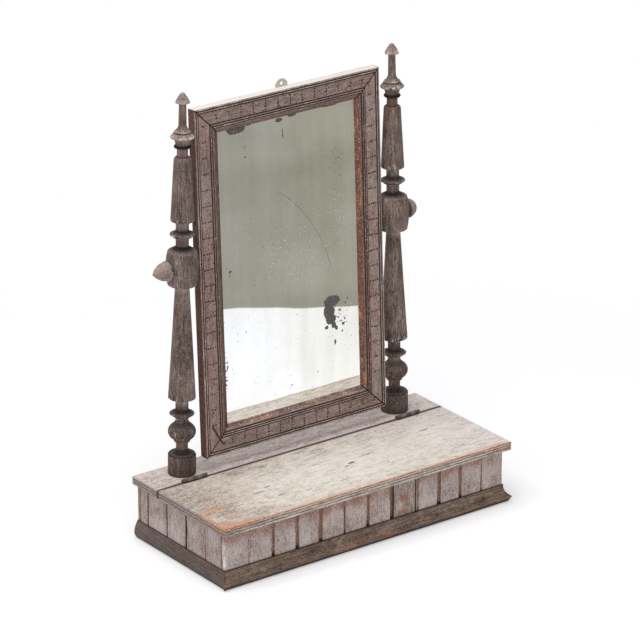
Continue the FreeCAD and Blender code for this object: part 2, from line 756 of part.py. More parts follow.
def moulding_profile():
    """Section of the frame as (distance in from the outer edge, height towards the viewer, bulge): two beads,
    a flat band, two more beads, a hollow down to the sight edge, and the rebate behind it."""
    bead_two = "(2 * dims.bead_width)"
    sight = "dims.moulding_width"
    rebate = "(dims.moulding_width - dims.rebate_width)"
    return [
        ("0", f"(-{HALF_THICK})"),
        ("0", FLAT_FACE),
        ("dims.bead_width", FLAT_FACE, -0.55),
        (bead_two, FLAT_FACE, -0.55),
        (INNER_BEAD, FLAT_FACE),
        (plus(INNER_BEAD, "dims.bead_width"), FLAT_FACE, -0.55),
        (plus(INNER_BEAD, bead_two), FLAT_FACE, -0.55),
        (sight, SIGHT_FACE, 0.12),
        (sight, GLASS_FACE),
        (rebate, GLASS_FACE),
        (rebate, f"(-{HALF_THICK})"),
    ]


def frame_rail(label, edge, inward):
    """Top or bottom rail. edge is its outer edge above the pivot, inward is +1 or -1 along Z."""
    body = ride_mirror(new_body(label))
    section = sketch_on(body, "YZ_Plane")
    outline(section, [(f"(-{height})", f"({edge} + {inward} * {depth})", *[bend * inward for bend in bulge])
                      for depth, height, *bulge in moulding_profile()])
    pad(body, section, "dims.frame_width", side="Symmetric")
    mitres = sketch_on(body, "XZ_Plane")
    inner_z = f"({edge} + {inward} * dims.moulding_width)"
    for side in (-1, 1):
        outer_x = f"({side} * {HALF_FRAME})"
        inner_x = f"({side} * ({HALF_FRAME} - dims.moulding_width))"
        outline(mitres, [(outer_x, edge), (outer_x, inner_z), (inner_x, inner_z)])
    pocket(body, mitres)
    return body


def frame_stile(label, side):
    """Left or right stile, with the blind hole that the thumb screw's shank turns in."""
    body = ride_mirror(new_body(label))
    section = sketch_on(body, "XY_Plane", offset="(-dims.frame_below_pivot)")
    edge = f"({side} * {HALF_FRAME})"
    outline(section, [(f"({edge} - {side} * {depth})", f"(-{height})", *[bend * side for bend in bulge])
                      for depth, height, *bulge in moulding_profile()])
    pad(body, section, "dims.frame_above_pivot + dims.frame_below_pivot")
    mitres = sketch_on(body, "XZ_Plane")
    inner_x = f"({edge} - {side} * dims.moulding_width)"
    for end, inward in (("dims.frame_above_pivot", -1), ("(-dims.frame_below_pivot)", 1)):
        inner_z = f"({end} + {inward} * dims.moulding_width)"
        outline(mitres, [(edge, end), (inner_x, end), (inner_x, inner_z)])
    pocket(body, mitres)
    hole = sketch_on(body, "YZ_Plane", offset=edge)
    circle(hole, "0", "0", "dims.shank_diameter + 2 * dims.pivot_clearance")
    pocket(body, hole, "dims.shank_depth + dims.knob_clearance", reverse=side < 0)
    return body


def panel(label, front, thickness):
    """Sheet that lies in the frame's rebate. front is its face's height towards the viewer."""
    body = ride_mirror(new_body(label))
    margin = "(dims.moulding_width - dims.rebate_width + dims.glass_clearance)"
    sheet_sketch = sketch_on(body, "XZ_Plane", offset=f"({front} - {thickness})")
    rectangle(sheet_sketch, f"(-{HALF_FRAME} + {margin})", f"(-dims.frame_below_pivot + {margin})",
              f"({HALF_FRAME} - {margin})", f"(dims.frame_above_pivot - {margin})")
    pad(body, sheet_sketch, thickness)
    return body


def backboard_sprigs():
    """Brads in the rebate's sides that lie on the back of the backboard and hold it."""
    y = f"(dims.nail_diameter / 2 - {BOARD_BACK})"
    inset = "(dims.moulding_width - dims.rebate_width)"
    rods = []
    for side, along in ((-1, "+x"), (1, "-x")):
        for share in (0.2, 0.5, 0.8):
            z = f"(-dims.frame_below_pivot + {share} * (dims.frame_above_pivot + dims.frame_below_pivot))"
            x = f"({side} * ({HALF_FRAME} - {inset} + dims.nail_length / 2))"
            rods.append(rod("sprig", "dims.nail_diameter", "dims.nail_length", along, x, y, z))
    return ride_mirror(group("backboard_sprigs", rods))


def mitre_pins():
    """Two brads through each stile into the end of a rail."""
    rods = []
    for side, along in ((-1, "+x"), (1, "-x")):
        x = f"({side} * ({HALF_FRAME} - dims.nail_sink))"
        for end, inward in (("dims.frame_above_pivot", -1), ("(-dims.frame_below_pivot)", 1)):
            for share in (0.3, 0.6):
                z = f"({end} + {inward} * {share} * dims.moulding_width)"
                length = "1.6 * dims.nail_length"
                rods.append(rod("mitre_pin", "dims.nail_diameter", length, along, x, "0", z))
    return ride_mirror(group("mitre_pins", rods))


def hanging_tab():
    """Iron tab with a round head and a hole, nailed to the back of the top rail."""
    body = ride_mirror(new_body("hanging_tab"))
    half = "(dims.tab_width / 2)"
    shoulder = "(dims.frame_above_pivot + 0.3 * dims.tab_rise)"
    plate = sketch_on(body, "XZ_Plane", offset=f"(-{HALF_THICK} - dims.tab_thickness)")
    outline(plate, [
        (f"(-{half})", "(dims.frame_above_pivot - dims.tab_drop)"),
        (half, "(dims.frame_above_pivot - dims.tab_drop)"),
        (half, shoulder),
        ("0", "(dims.frame_above_pivot + dims.tab_rise)", 0.33),
        (f"(-{half})", shoulder, 0.33),
    ])
    circle(plate, "0", "(dims.frame_above_pivot + 0.4 * dims.tab_rise)", "dims.tab_hole")
    pad(body, plate, "dims.tab_thickness")
    return body


def tab_nails():
    y = f"({HALF_THICK} + dims.tab_thickness + dims.nail_sink)"
    z = "(dims.frame_above_pivot - dims.tab_drop / 2)"
    spots = [(f"{share} * dims.tab_width", y, z) for share in (-0.28, 0.28)]
    return ride_mirror(nails("tab_nails", spots, "-y", "0.5 * dims.nail_length"))


def mitre_wire():
    """Bent wire that lies on the flat band across the lower left mitre, hooked at both ends."""
    body = ride_mirror(new_body("mitre_wire"))
    face = f"({FLAT_FACE} + dims.wire_diameter / 2 + dims.wire_clearance)"
    crossing = f"({INNER_BEAD} - dims.wire_diameter)"
    left = f"(-{HALF_FRAME} + {crossing} + dims.wire_hook * sin(dims.wire_slope))"
    foot = f"(-dims.frame_below_pivot + {crossing} + dims.wire_hook * cos(dims.wire_slope))"
    high_x = f"({left} - dims.wire_above_mitre * cos(dims.wire_slope))"
    high_z = f"({foot} + dims.wire_above_mitre * sin(dims.wire_slope))"
    low_x = f"({left} + dims.wire_below_mitre * cos(dims.wire_slope))"
    low_z = f"({foot} - dims.wire_below_mitre * sin(dims.wire_slope))"
    path = sketch_on(body, "XZ_Plane", offset=face)
    hook = number("dims.wire_hook")
    joint = math.radians(270 - number("dims.wire_slope"))
    spans = ((high_x, high_z, math.pi / 2, joint), (low_x, low_z, joint, 2 * math.pi))
    for x, z, begin, end in spans:
        centre = Vector(number(x), number(z), 0)
        arc = sketch_arc(path, centre, hook, begin, end)
        for kind, expression, value in (("DistanceX", x, centre.x), ("DistanceY", z, centre.y)):
            rule = path.addConstraint(Sketcher.Constraint(kind, -1, 1, arc, 3, value))
            path.setExpression(f"Constraints[{rule}]", expression)
        rule = path.addConstraint(Sketcher.Constraint("Radius", arc, hook))
        path.setExpression(f"Constraints[{rule}]", "dims.wire_hook")
    straight = path.addGeometry(Part.LineSegment(path.getPoint(0, 2), path.getPoint(1, 1)))
    path.addConstraint(Sketcher.Constraint("Tangent", 0, 2, straight, 1))
    path.addConstraint(Sketcher.Constraint("Tangent", straight, 2, 1, 1))
    path.addConstraint(Sketcher.Constraint("Vertical", 0, 1, 0, 3))
    path.addConstraint(Sketcher.Constraint("Horizontal", 1, 2, 1, 3))
    section = sketch_on(body, "YZ_Plane", offset=high_x)
    circle(section, f"(-{face})", plus(high_z, "dims.wire_hook"), "dims.wire_diameter")
    pipe = body.newObject("PartDesign::AdditivePipe", "mitre_wire_sweep")
    pipe.Profile = section
    pipe.Spine = (path, ["Edge1", "Edge2", "Edge3"])
    doc.recompute()
    return body


# Thumb screws
def pointed_head(brim, across):
    """A head that runs out to a point."""
    return [
        (f"({brim} + dims.knob_length)", "0"),
        (f"({brim} + 0.94 * dims.knob_length)", f"0.09 * {across}", 0.25),
        (f"({brim} + 0.6 * dims.knob_length)", f"0.35 * {across}", 0.08),
        (f"({brim} + dims.knob_brim)", f"0.465 * {across}", 0.16),
    ]


def domed_head(brim, across):
    """A head worn down to a dome."""
    return [(f"({brim} + dims.dome_length)", "0"), (f"({brim} + dims.knob_brim)", f"0.465 * {across}", 0.38)]


def pivot_screw(label, side, head):
    """Wooden thumb screw: a plain shank through the column into the frame, a brim and a head."""
    body = new_body(label)
    brim = f"({PIVOT_X} + dims.barrel_diameter / 2 + dims.knob_clearance)"
    inner = f"({HALF_FRAME} - dims.shank_depth)"
    across = "dims.knob_diameter"
    profile = sketch_on(body, "XZ_Plane")
    outline(profile, [
        (inner, "0"),
        *head(brim, across),
        (f"({brim} + 0.85 * dims.knob_brim)", f"0.5 * {across}"),
        (f"({brim} + 0.25 * dims.knob_brim)", f"0.5 * {across}", 0.2),
        (brim, f"0.46 * {across}", 0.2),
        (brim, "dims.shank_diameter / 2"),
        (inner, "dims.shank_diameter / 2"),
    ])
    revolve(body, profile, "H_Axis")
    if side < 0:
        body.Placement.Rotation = FreeCAD.Rotation(Vector(0, 0, 1), 180)
    place(body, "0", COLUMN_Y, PIVOT_Z)
    return body


# Nails of the box
def wall_nails():
    """Front and back walls into the ends of the side walls."""
    rods = []
    for face, inward, along in ((BOX_FRONT, 1, "+y"), (BOX_BACK, -1, "-y")):
        for side in (-1, 1):
            for share in (0.2, 0.5, 0.8):
                rods.append(rod("wall_nail", "dims.nail_diameter", "dims.nail_length", along,
                                f"{side} * {SIDE_CORE}", f"{face} + {inward} * dims.nail_sink",
                                f"dims.bottom_thickness + {share} * {WALL_HEIGHT}"))
    return group("wall_nails", rods)


def bottom_nails():
    """Bottom board up into the walls."""
    spots = [(f"{share} * {BOX_SIDE}", y, "dims.nail_sink")
             for share in (-0.75, -0.25, 0.25, 0.75) for y in (FRONT_CORE, BACK_CORE)]
    middle = f"({BOX_FRONT} + {BOX_BACK}) / 2"
    spots += [(f"{side} * {SIDE_CORE}", middle, "dims.nail_sink") for side in (-1, 1)]
    return nails("bottom_nails", spots, "+z")


def plinth_nails():
    """Plinth into the edge of the bottom board."""
    reach = "(dims.plinth_projection - dims.plinth_undercut)"
    height = "dims.bottom_thickness / 2"
    size = ("plinth_nail", "dims.nail_diameter", "dims.nail_length")
    rods = [rod(*size, "+y", f"{share} * {BOX_SIDE}", f"{BOX_FRONT} - {reach}", height)
            for share in (-0.85, -0.3, 0.3, 0.85)]
    for side, along, out in ((-1, "+x", "0.5 * dims.round_projection"), (1, "-x", reach)):
        for share in (0.25, 0.75):
            y = f"{BOX_FRONT} + {share} * ({BOX_BACK} - {BOX_FRONT})"
            rods.append(rod(*size, along, f"{side} * ({BOX_SIDE} + {out})", y, height))
    return group("plinth_nails", rods)


def strip_nails():
    """Rear strip down into the back and side walls."""
    height = "dims.box_height - dims.nail_sink"
    spots = [(f"{share} * {BOX_SIDE}", BACK_CORE, height) for share in (-0.9, -0.4, 0.4, 0.9)]
    spots += [(f"{side} * {SIDE_CORE}", f"({STRIP_FRONT} + {BOX_BACK}) / 2", height) for side in (-1, 1)]
    return nails("strip_nails", spots, "-z")


strip_screws = leaf_screws("hinge_strip_screws", 1)
lid_screws = leaf_screws("hinge_lid_screws", -1)
pieces = [
    bottom_board(), front_wall(), back_wall(), side_wall("left_wall", -1), side_wall("right_wall", 1),
    repair_block(), plinth_front(), plinth_side("plinth_left", -1, round_profile),
    plinth_side("plinth_right", 1, cove_profile),
    top_strip(), lid(), strip_screws, lid_screws, wall_nails(), bottom_nails(), plinth_nails(), strip_nails(),
    frame_rail("frame_top_rail", "dims.frame_above_pivot", -1),
    frame_rail("frame_bottom_rail", "(-dims.frame_below_pivot)", 1),
    panel("mirror_glass", GLASS_FACE, "dims.glass_thickness"),
    panel("backboard", BOARD_FACE, "dims.backboard_thickness"),
    backboard_sprigs(), mitre_pins(), mitre_wire(), hanging_tab(), tab_nails(),
]
for hand, side, head in (("left", -1, pointed_head), ("right", 1, domed_head)):
    pieces += [
        column(f"{hand}_column", side),
        finial(f"{hand}_finial", side),
        hinge_leaf(f"{hand}_hinge_strip_leaf", side, 1, strip_screws),
        hinge_leaf(f"{hand}_hinge_lid_leaf", side, -1, lid_screws),
        hinge_pin(f"{hand}_hinge_pin", side),
        frame_stile(f"frame_{hand}_stile", side),
        pivot_screw(f"{hand}_pivot_screw", side, head),
    ]
doc.recompute()

# Nothing is written unless every object and every shape is sound
for item in doc.Objects:
    if "Invalid" in item.State or "Error" in item.State:
        raise ValueError(f"{item.Label} failed to build: {item.State}")
for piece in pieces:
    if piece.Shape.isNull() or not piece.Shape.isValid() or not piece.Shape.Solids:
        raise ValueError(f"{piece.Label} has no sound solid")

os.makedirs("parts", exist_ok=True)
for piece in pieces:
    piece.Shape.exportStep(f"parts/{piece.Label}.step")
print(f"{len(pieces)} pieces, pivot {number(PIVOT_Z):.2f} above the table")
print(f"seam at {number(SEAM):.2f}, hinge line {number(HINGE_Z):.2f} above the table")
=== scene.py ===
# %% [markdown]
# # An old tilting table mirror
# The object is a low lidded box on a hollow-moulded plinth. Two turned columns stand on the fixed strip
# behind the lid, and a moulded frame with an old silvered glass tilts between them on two wooden thumb
# screws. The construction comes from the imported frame, in metres. This lesson dresses each piece: it
# works out worn surfaces as whole arrays and gives them finishes made of nodes.

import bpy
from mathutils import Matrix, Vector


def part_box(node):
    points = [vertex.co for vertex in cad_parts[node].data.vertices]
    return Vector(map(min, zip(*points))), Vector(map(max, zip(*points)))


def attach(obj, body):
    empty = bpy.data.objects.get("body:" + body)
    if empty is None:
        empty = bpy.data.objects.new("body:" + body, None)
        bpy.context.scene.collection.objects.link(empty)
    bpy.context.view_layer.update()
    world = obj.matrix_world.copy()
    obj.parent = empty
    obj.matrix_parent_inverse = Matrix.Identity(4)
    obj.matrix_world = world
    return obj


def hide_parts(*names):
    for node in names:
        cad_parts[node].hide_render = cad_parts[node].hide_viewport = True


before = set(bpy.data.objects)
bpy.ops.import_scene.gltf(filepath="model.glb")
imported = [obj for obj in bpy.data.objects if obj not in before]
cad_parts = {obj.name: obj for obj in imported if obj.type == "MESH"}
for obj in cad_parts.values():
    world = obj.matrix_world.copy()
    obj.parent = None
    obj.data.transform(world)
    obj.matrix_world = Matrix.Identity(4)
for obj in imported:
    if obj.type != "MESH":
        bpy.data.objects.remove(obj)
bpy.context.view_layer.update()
print("pieces in the frame:", len(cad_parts))

# %% [markdown]
# The scene counts in metres and a maker in millimetres, so sizes are written as so many MM. A few small
# measures of nearness come back in every piece.

# %% Tools and units
import math

import bpy
import numpy as np
from mathutils import Matrix, Vector

MM = 0.001
HANDS = (("left", -1), ("right", 1))
scene = bpy.context.scene


def corners(node):
    """Lowest and highest corner of a piece of the frame, as arrays."""
    return [np.array(corner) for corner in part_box(node)]


def unit(values):
    """Values cut off below 0 and above 1."""
    return np.clip(values, 0, 1)


def fade(distance, reach):
    """1 at no distance, and 0.37 times as much with each reach further: e to the power of minus distance
    / reach."""
    return np.exp(-distance / reach)


def bell(distance, width):
    """A bell curve: e to the power of minus the square of distance / width."""
    return np.exp(-(distance / width) ** 2)


# %% [markdown]
# ## Camera
# The photograph was taken with a long lens from the front left, about 4.7 metres away and 22 degrees up.
# A camera could be aimed with a constraint, but here its three axes are worked out from two angles, so
# that the numbers can be read and changed.

# %% Camera at the photograph's angle
azimuth = math.radians(36.56)
elevation = math.radians(22.05)
LENS = 233.28
SENSOR = 36
ASIDE, ABOVE_LID, DISTANCE = 0.0040, 0.1563, 4.6752
level = math.cos(elevation)
to_right = Vector((math.cos(azimuth), -math.sin(azimuth), 0))
ahead = Vector((math.sin(azimuth) * level, math.cos(azimuth) * level, -math.sin(elevation)))
upward = to_right.cross(ahead)
top_middle = Vector((0, 0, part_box("lid")[1].z))
camera_data = bpy.data.cameras.new("camera")
camera_data.lens = LENS
camera_data.sensor_width = SENSOR
camera_data.clip_end = 100
camera = bpy.data.objects.new("camera", camera_data)
scene.collection.objects.link(camera)
camera.matrix_world = Matrix((to_right, upward, -ahead)).transposed().to_4x4()
camera.location = top_middle - (ASIDE * to_right - ABOVE_LID * upward + DISTANCE * ahead)
scene.camera = camera
print("camera stands at", [round(x, 3) for x in camera.location])

# %% [markdown]
# ## Small helpers for finishes
# A finish is a network of nodes. Written out node by node it fills pages, so a few helpers do the wiring:
# each one adds a node, feeds it with plain values or with the output of another node, and hands back its
# output.


# %% Materials and their inputs
def paint(red, green, blue):
    """A linear colour from the 0 to 255 numbers of a paint chip, undone from the screen's tone curve."""
    chip = np.array((red, green, blue)) / 255
    linear = np.where(chip <= 0.04045, chip / 12.92, ((chip + 0.055) / 1.055) ** 2.4)
    return (*linear.tolist(), 1.0)


def feed(tree, socket, value):
    """Links another node's output to a socket, or writes a plain value into it."""
    if isinstance(value, bpy.types.NodeSocket):
        tree.links.new(value, socket)
    else:
        socket.default_value = value


def empty_tree(owner):
    """The node tree of a material or a world, emptied."""
    owner.use_nodes = True
    owner.node_tree.nodes.clear()
    return owner.node_tree


def send_out(tree, look, kind="Material"):
    """Links a look to the output of its tree."""
    output = tree.nodes.new(f"ShaderNodeOutput{kind}")
    tree.links.new(look, output.inputs["Surface"])


def new_finish(name):
    """An empty material with its surface shader: gives the material, its tree and the shader."""
    finish = bpy.data.materials.new(name)
    tree = empty_tree(finish)
    shader = tree.nodes.new("ShaderNodeBsdfPrincipled")
    send_out(tree, shader.outputs[0])
    return finish, tree, shader


print("material helpers ready")

# %% [markdown]
# Most of a finish is arithmetic on values from 0 to 1: the fields that a piece carries, and clouds of
# noise. A helper for each kind of step keeps the sums readable.


# %% Values by nodes
def field(tree, name, output="Fac"):
    """A value that the piece carries at each point."""
    node = tree.nodes.new("ShaderNodeAttribute")
    node.attribute_name = name
    return node.outputs[output]


def object_place(tree):
    """Where a point is on the object, in metres."""
    return tree.nodes.new("ShaderNodeTexCoord").outputs["Object"]


def cloud(tree, place, per_metre, detail=3.0, rough=0.55, shift=0.0):
    """Cloudy values about 0.5, with so many clouds to the metre along each axis."""
    mapping = tree.nodes.new("ShaderNodeMapping")
    mapping.inputs["Scale"].default_value = per_metre
    mapping.inputs["Location"].default_value = (shift, shift * 1.7, shift * 2.3)
    feed(tree, mapping.inputs["Vector"], place)
    node = tree.nodes.new("ShaderNodeTexNoise")
    node.inputs["Scale"].default_value = 1
    node.inputs["Detail"].default_value = detail
    node.inputs["Roughness"].default_value = rough
    feed(tree, node.inputs["Vector"], mapping.outputs[0])
    return node.outputs["Fac"]


def work(tree, operation, *values):
    """One step of arithmetic."""
    node = tree.nodes.new("ShaderNodeMath")
    node.operation = operation
    for socket, value in zip(node.inputs, values):
        feed(tree, socket, value)
    return node.outputs[0]


def weighted(tree, *pairs):
    """Adds up values, each times its weight."""
    total = None
    for value, weight in pairs:
        part = value if weight == 1 else work(tree, "MULTIPLY", value, weight)
        total = part if total is None else work(tree, "ADD", total, part)
    return total


def swing(tree, cloudy, size):
    """Turns cloudy values into a swing about 0."""
    return work(tree, "MULTIPLY", work(tree, "SUBTRACT", cloudy, 0.5), size)


def spread(tree, value, low, high, bottom=0.0, top=1.0):
    """Stretches the values between low and high smoothly over bottom to top."""
    node = tree.nodes.new("ShaderNodeMapRange")
    node.interpolation_type = "SMOOTHSTEP"
    for name, number in (("From Min", low), ("From Max", high), ("To Min", bottom), ("To Max", top)):
        node.inputs[name].default_value = number
    feed(tree, node.inputs["Value"], value)
    return node.outputs[0]


print("value helpers ready")

# %% [markdown]
# Values become colours through rows of paint chips. Pores that are too fine for the mesh come from a bump
# node, because displacing them would take many more faces.


# %% Colours and relief by nodes
def blend(tree, share, first, second):
    """Mixes two colours: share 0 is the first, share 1 the second."""
    node = tree.nodes.new("ShaderNodeMix")
    node.data_type = "RGBA"
    feed(tree, node.inputs[0], share)
    feed(tree, node.inputs[6], first)
    feed(tree, node.inputs[7], second)
    return node.outputs[2]


def chips(tree, value, stops):
    """A row of paint chips, each at its place from 0 to 1, blended by a value."""
    node = tree.nodes.new("ShaderNodeValToRGB")
    ramp = node.color_ramp
    for index, (place, colour) in enumerate(stops):
        stop = ramp.elements[index] if index < 2 else ramp.elements.new(place)
        stop.position = place
        stop.color = colour
    feed(tree, node.inputs[0], value)
    return node.outputs[0]


def relief(tree, shader, height, strength, depth):
    """Fine relief that is too small for the mesh."""
    node = tree.nodes.new("ShaderNodeBump")
    node.inputs["Strength"].default_value = strength
    node.inputs["Distance"].default_value = depth
    feed(tree, node.inputs["Height"], height)
    tree.links.new(node.outputs[0], shader.inputs["Normal"])


print("colour helpers ready")

# %% [markdown]
# ## Floor and light
# The photograph is a plain white studio picture: a wide soft lamp overhead, white all round, and only a
# faint shadow at the foot. The floor is an ordinary pale surface for the light that bounces off it. The
# camera and the glass see it a little brighter, so that it is white with its shadow round the object and
# plain white further off.


# %% Floor
def look(tree, kind, **inputs):
    """A shader of a kind, with its named inputs set."""
    node = tree.nodes.new(f"ShaderNode{kind}")
    for name, value in inputs.items():
        feed(tree, node.inputs[name], value)
    return node.outputs[0]


def join_looks(tree, kind, *parts):
    """Joins looks: kind Add takes two looks, and kind Mix takes a share and two looks."""
    node = tree.nodes.new(f"ShaderNode{kind}Shader")
    for socket, part in zip(node.inputs, parts):
        tree.links.new(part, socket)
    return node.outputs[0]


def seen_directly(tree):
    """1 for rays from the camera, or by way of a mirror or glass, and 0 for the light that falls on
    things."""
    path = tree.nodes.new("ShaderNodeLightPath")
    direct = work(tree, "MAXIMUM", path.outputs["Is Camera Ray"], path.outputs["Is Glossy Ray"])
    return work(tree, "MAXIMUM", direct, path.outputs["Is Transmission Ray"])


def sheet(name, points, finish):
    """A flat four-cornered sheet."""
    mesh = bpy.data.meshes.new(name)
    mesh.from_pydata(points, [], [(0, 1, 2, 3)])
    mesh.materials.append(finish)
    made = bpy.data.objects.new(name, mesh)
    scene.collection.objects.link(made)
    return made


FLOOR_REACH = 6.0
NEAR_FLOOR = 0.42
FAR_FLOOR = 0.80
floor_finish = bpy.data.materials.new("pale_floor")
floor_tree = empty_tree(floor_finish)
bounce = look(floor_tree, "BsdfDiffuse", Color=(0.86, 0.86, 0.87, 1))
shaded = look(floor_tree, "BsdfDiffuse", Color=(0.93, 0.93, 0.95, 1))
near_look = join_looks(floor_tree, "Add", shaded, look(floor_tree, "Emission", Strength=0.23))
from_middle = floor_tree.nodes.new("ShaderNodeVectorMath")
from_middle.operation = "LENGTH"
floor_tree.links.new(object_place(floor_tree), from_middle.inputs[0])
far_share = spread(floor_tree, from_middle.outputs["Value"], NEAR_FLOOR, FAR_FLOOR)
white_floor = join_looks(floor_tree, "Mix", far_share, near_look, look(floor_tree, "Emission"))
send_out(floor_tree, join_looks(floor_tree, "Mix", seen_directly(floor_tree), bounce, white_floor))
floor_ends = ((-1, -1), (1, -1), (1, 1), (-1, 1))
sheet("floor", [(x * FLOOR_REACH, y * FLOOR_REACH, 0) for x, y in floor_ends], floor_finish)
print("floor reaches", FLOOR_REACH, "m each way")

# %% [markdown]
# An old glass shows what stands in front of it. A dim card on the floor gives it the grey upper part that
# the photograph shows. Only reflections see the card, so it darkens nothing else.

# %% Dim card
CARD_MIDDLE = np.array((0.4305, -0.5465, 0.0))
CARD_ALONG = np.array((0.757, 0.653, 0.0))
CARD_HALF = 0.65
CARD_HEIGHT = 0.75
card_finish = bpy.data.materials.new("dim_card")
card_tree = empty_tree(card_finish)
card_tone = cloud(card_tree, object_place(card_tree), (3.0, 3.0, 9.0), 2.0)
card_colour = chips(card_tree, card_tone, [(0.3, paint(150, 148, 136)), (0.7, paint(172, 171, 160))])
send_out(card_tree, look(card_tree, "Emission", Color=card_colour))
foot_ends = [CARD_MIDDLE + side * CARD_HALF * CARD_ALONG for side in (-1, 1)]
head_ends = [end + np.array((0, 0, CARD_HEIGHT)) for end in foot_ends[::-1]]
card = sheet("dim_card", [tuple(point) for point in foot_ends + head_ends], card_finish)
card.visible_camera = False
card.visible_diffuse = False
card.visible_shadow = False
card.visible_transmission = False
print("dim card from", foot_ends[0].round(3), "to", foot_ends[1].round(3))

# %% [markdown]
# The light could come from a ring of lamps. One wide lamp and a white surrounding do the same with less:
# the surrounding gives half its light to things, but the camera and the glass see it as plain white.

# %% Light
world = bpy.data.worlds.new("studio")
world_tree = empty_tree(world)
soft = look(world_tree, "Background", Color=(0.96, 0.98, 1.0, 1), Strength=0.5)
white = look(world_tree, "Background", Color=(1, 1, 1, 1), Strength=1.0)
send_out(world_tree, join_looks(world_tree, "Mix", seen_directly(world_tree), soft, white), "World")
scene.world = world
scene.view_settings.view_transform = "Standard"

LAMP_AIM = Vector((0, 0, 0.2))
lamp_data = bpy.data.lights.new("overhead", "AREA")
lamp_data.shape = "SQUARE"
lamp_data.size = 1.5
lamp_data.energy = 21
lamp_data.color = (1.0, 0.985, 0.96)
lamp = bpy.data.objects.new("overhead", lamp_data)
scene.collection.objects.link(lamp)
lamp.location = (-0.45, -0.10, 1.9)
lamp.rotation_euler = (LAMP_AIM - lamp.location).to_track_quat("-Z", "Y").to_euler()
print("lamp of", lamp_data.energy, "W at", [round(x, 2) for x in lamp.location])

# %% [markdown]
# ## Meshes from arrays
# Every new piece here is one array of points and a few arrays of faces, sent to the mesh in one go. A
# piece also carries values at its points, such as how worn it is there, or how dirty and how much painted
# shade it gets, and the finishes read them by name.


# %% Mesh helpers
def grid_faces(index):
    """Four-sided faces between neighbouring entries of a grid of point numbers."""
    around = [index[:-1, :-1], index[1:, :-1], index[1:, 1:], index[:-1, 1:]]
    return np.stack(around, axis=-1).reshape(-1, 4)


def facing_out(points, faces):
    """Turns all faces round if the volume that they enclose, added up from cones to the origin, is
    negative."""
    volume = 0.0
    for block in faces:
        first = points[block[:, 0]]
        for step in range(1, block.shape[1] - 1):
            second, third = points[block[:, step]], points[block[:, step + 1]]
            volume += np.einsum("ij,ij->", first, np.cross(second, third))
    return [block[:, ::-1] for block in faces] if volume < 0 else faces


def make_piece(name, points, faces, finish, body, slot, node, crease=50, **fields):
    """A mesh object from whole arrays. faces is a list of index arrays, one for each number of corners.
    Each field holds a number or a vector for every point. Edges that bend by more than crease degrees
    stay sharp."""
    mesh = bpy.data.meshes.new(name)
    faces = facing_out(points, faces)
    loops = np.concatenate([block.ravel() for block in faces]).astype(np.int32)
    sizes = np.concatenate([np.full(len(block), block.shape[1]) for block in faces])
    mesh.vertices.add(len(points))
    mesh.vertices.foreach_set("co", points.astype(np.float32).ravel())
    mesh.loops.add(len(loops))
    mesh.loops.foreach_set("vertex_index", loops)
    mesh.polygons.add(len(sizes))
    mesh.polygons.foreach_set("loop_start", (np.cumsum(sizes) - sizes).astype(np.int32))
    mesh.polygons.foreach_set("use_smooth", np.ones(len(sizes), dtype=bool))
    mesh.update(calc_edges=True)
    mesh.validate()
    mesh.set_sharp_from_angle(angle=math.radians(crease))
    for key, values in fields.items():
        kind, member = ("FLOAT_VECTOR", "vector") if values.ndim == 2 else ("FLOAT", "value")
        held = mesh.attributes.new(key, kind, "POINT")
        held.data.foreach_set(member, values.astype(np.float32).ravel())
    mesh.materials.append(finish)
    piece = bpy.data.objects.new(name, mesh)
    scene.collection.objects.link(piece)
    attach(piece, body)
    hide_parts(node)
    print(f"{name}: {int((sizes - 2).sum())} triangles")


print("mesh helpers ready")

# %% [markdown]
# Age makes things uneven, but not at random from point to point. Plane waves from a few drawn directions
# add up to a smooth uneven field. Each piece draws its own from its name, so that every run gives the
# same marks.


# %% Uneven fields
WAVES = 9
WAVE_GAIN = 1.8


def ripple(points, wavelength, seed):
    """A smooth uneven field, mostly between -1 and 1: the mean of several plane waves whose directions,
    lengths and phases are drawn from a seed."""
    draw = np.random.default_rng(seed)
    ways = draw.normal(size=(WAVES, 3))
    pace = 2 * np.pi / wavelength * draw.uniform(0.7, 1.5, WAVES)
    ways *= (pace / np.linalg.norm(ways, axis=1))[:, None]
    return np.sin(points @ ways.T + draw.uniform(0, 2 * np.pi, WAVES)).mean(axis=1) * WAVE_GAIN


def grain_place(along, first, second, seed):
    """Where each point lies in the log: along the grain first, then two ways across, shifted for each
    piece."""
    shift = np.random.default_rng(seed).uniform(0, 3, 3)
    return np.stack([along, first, second], axis=1) + shift


def seed_of(name):
    """A steady seed from a piece's name."""
    return sum((place + 1) * ord(letter) for place, letter in enumerate(name))


print("each uneven field has", WAVES, "waves")

# %% [markdown]
# ## Old painted wood
# All the wood was once covered with a thin grey wash, and the years have rubbed it into the grain. So one
# recipe serves every board and turning, each with its own chips: fine streaks along the grain blend the
# chips, then come stains, rubbed edges where bare warm wood shows, dark pores, dirt in every groove and
# pit, painted shade in lines, hollows and undersides, and pale chalk and painted highlights. An image
# could do this for one view only. Noise that follows the grain works from every side.


# %% Wood recipe
WARM = (1.06, 0.96, 0.93)


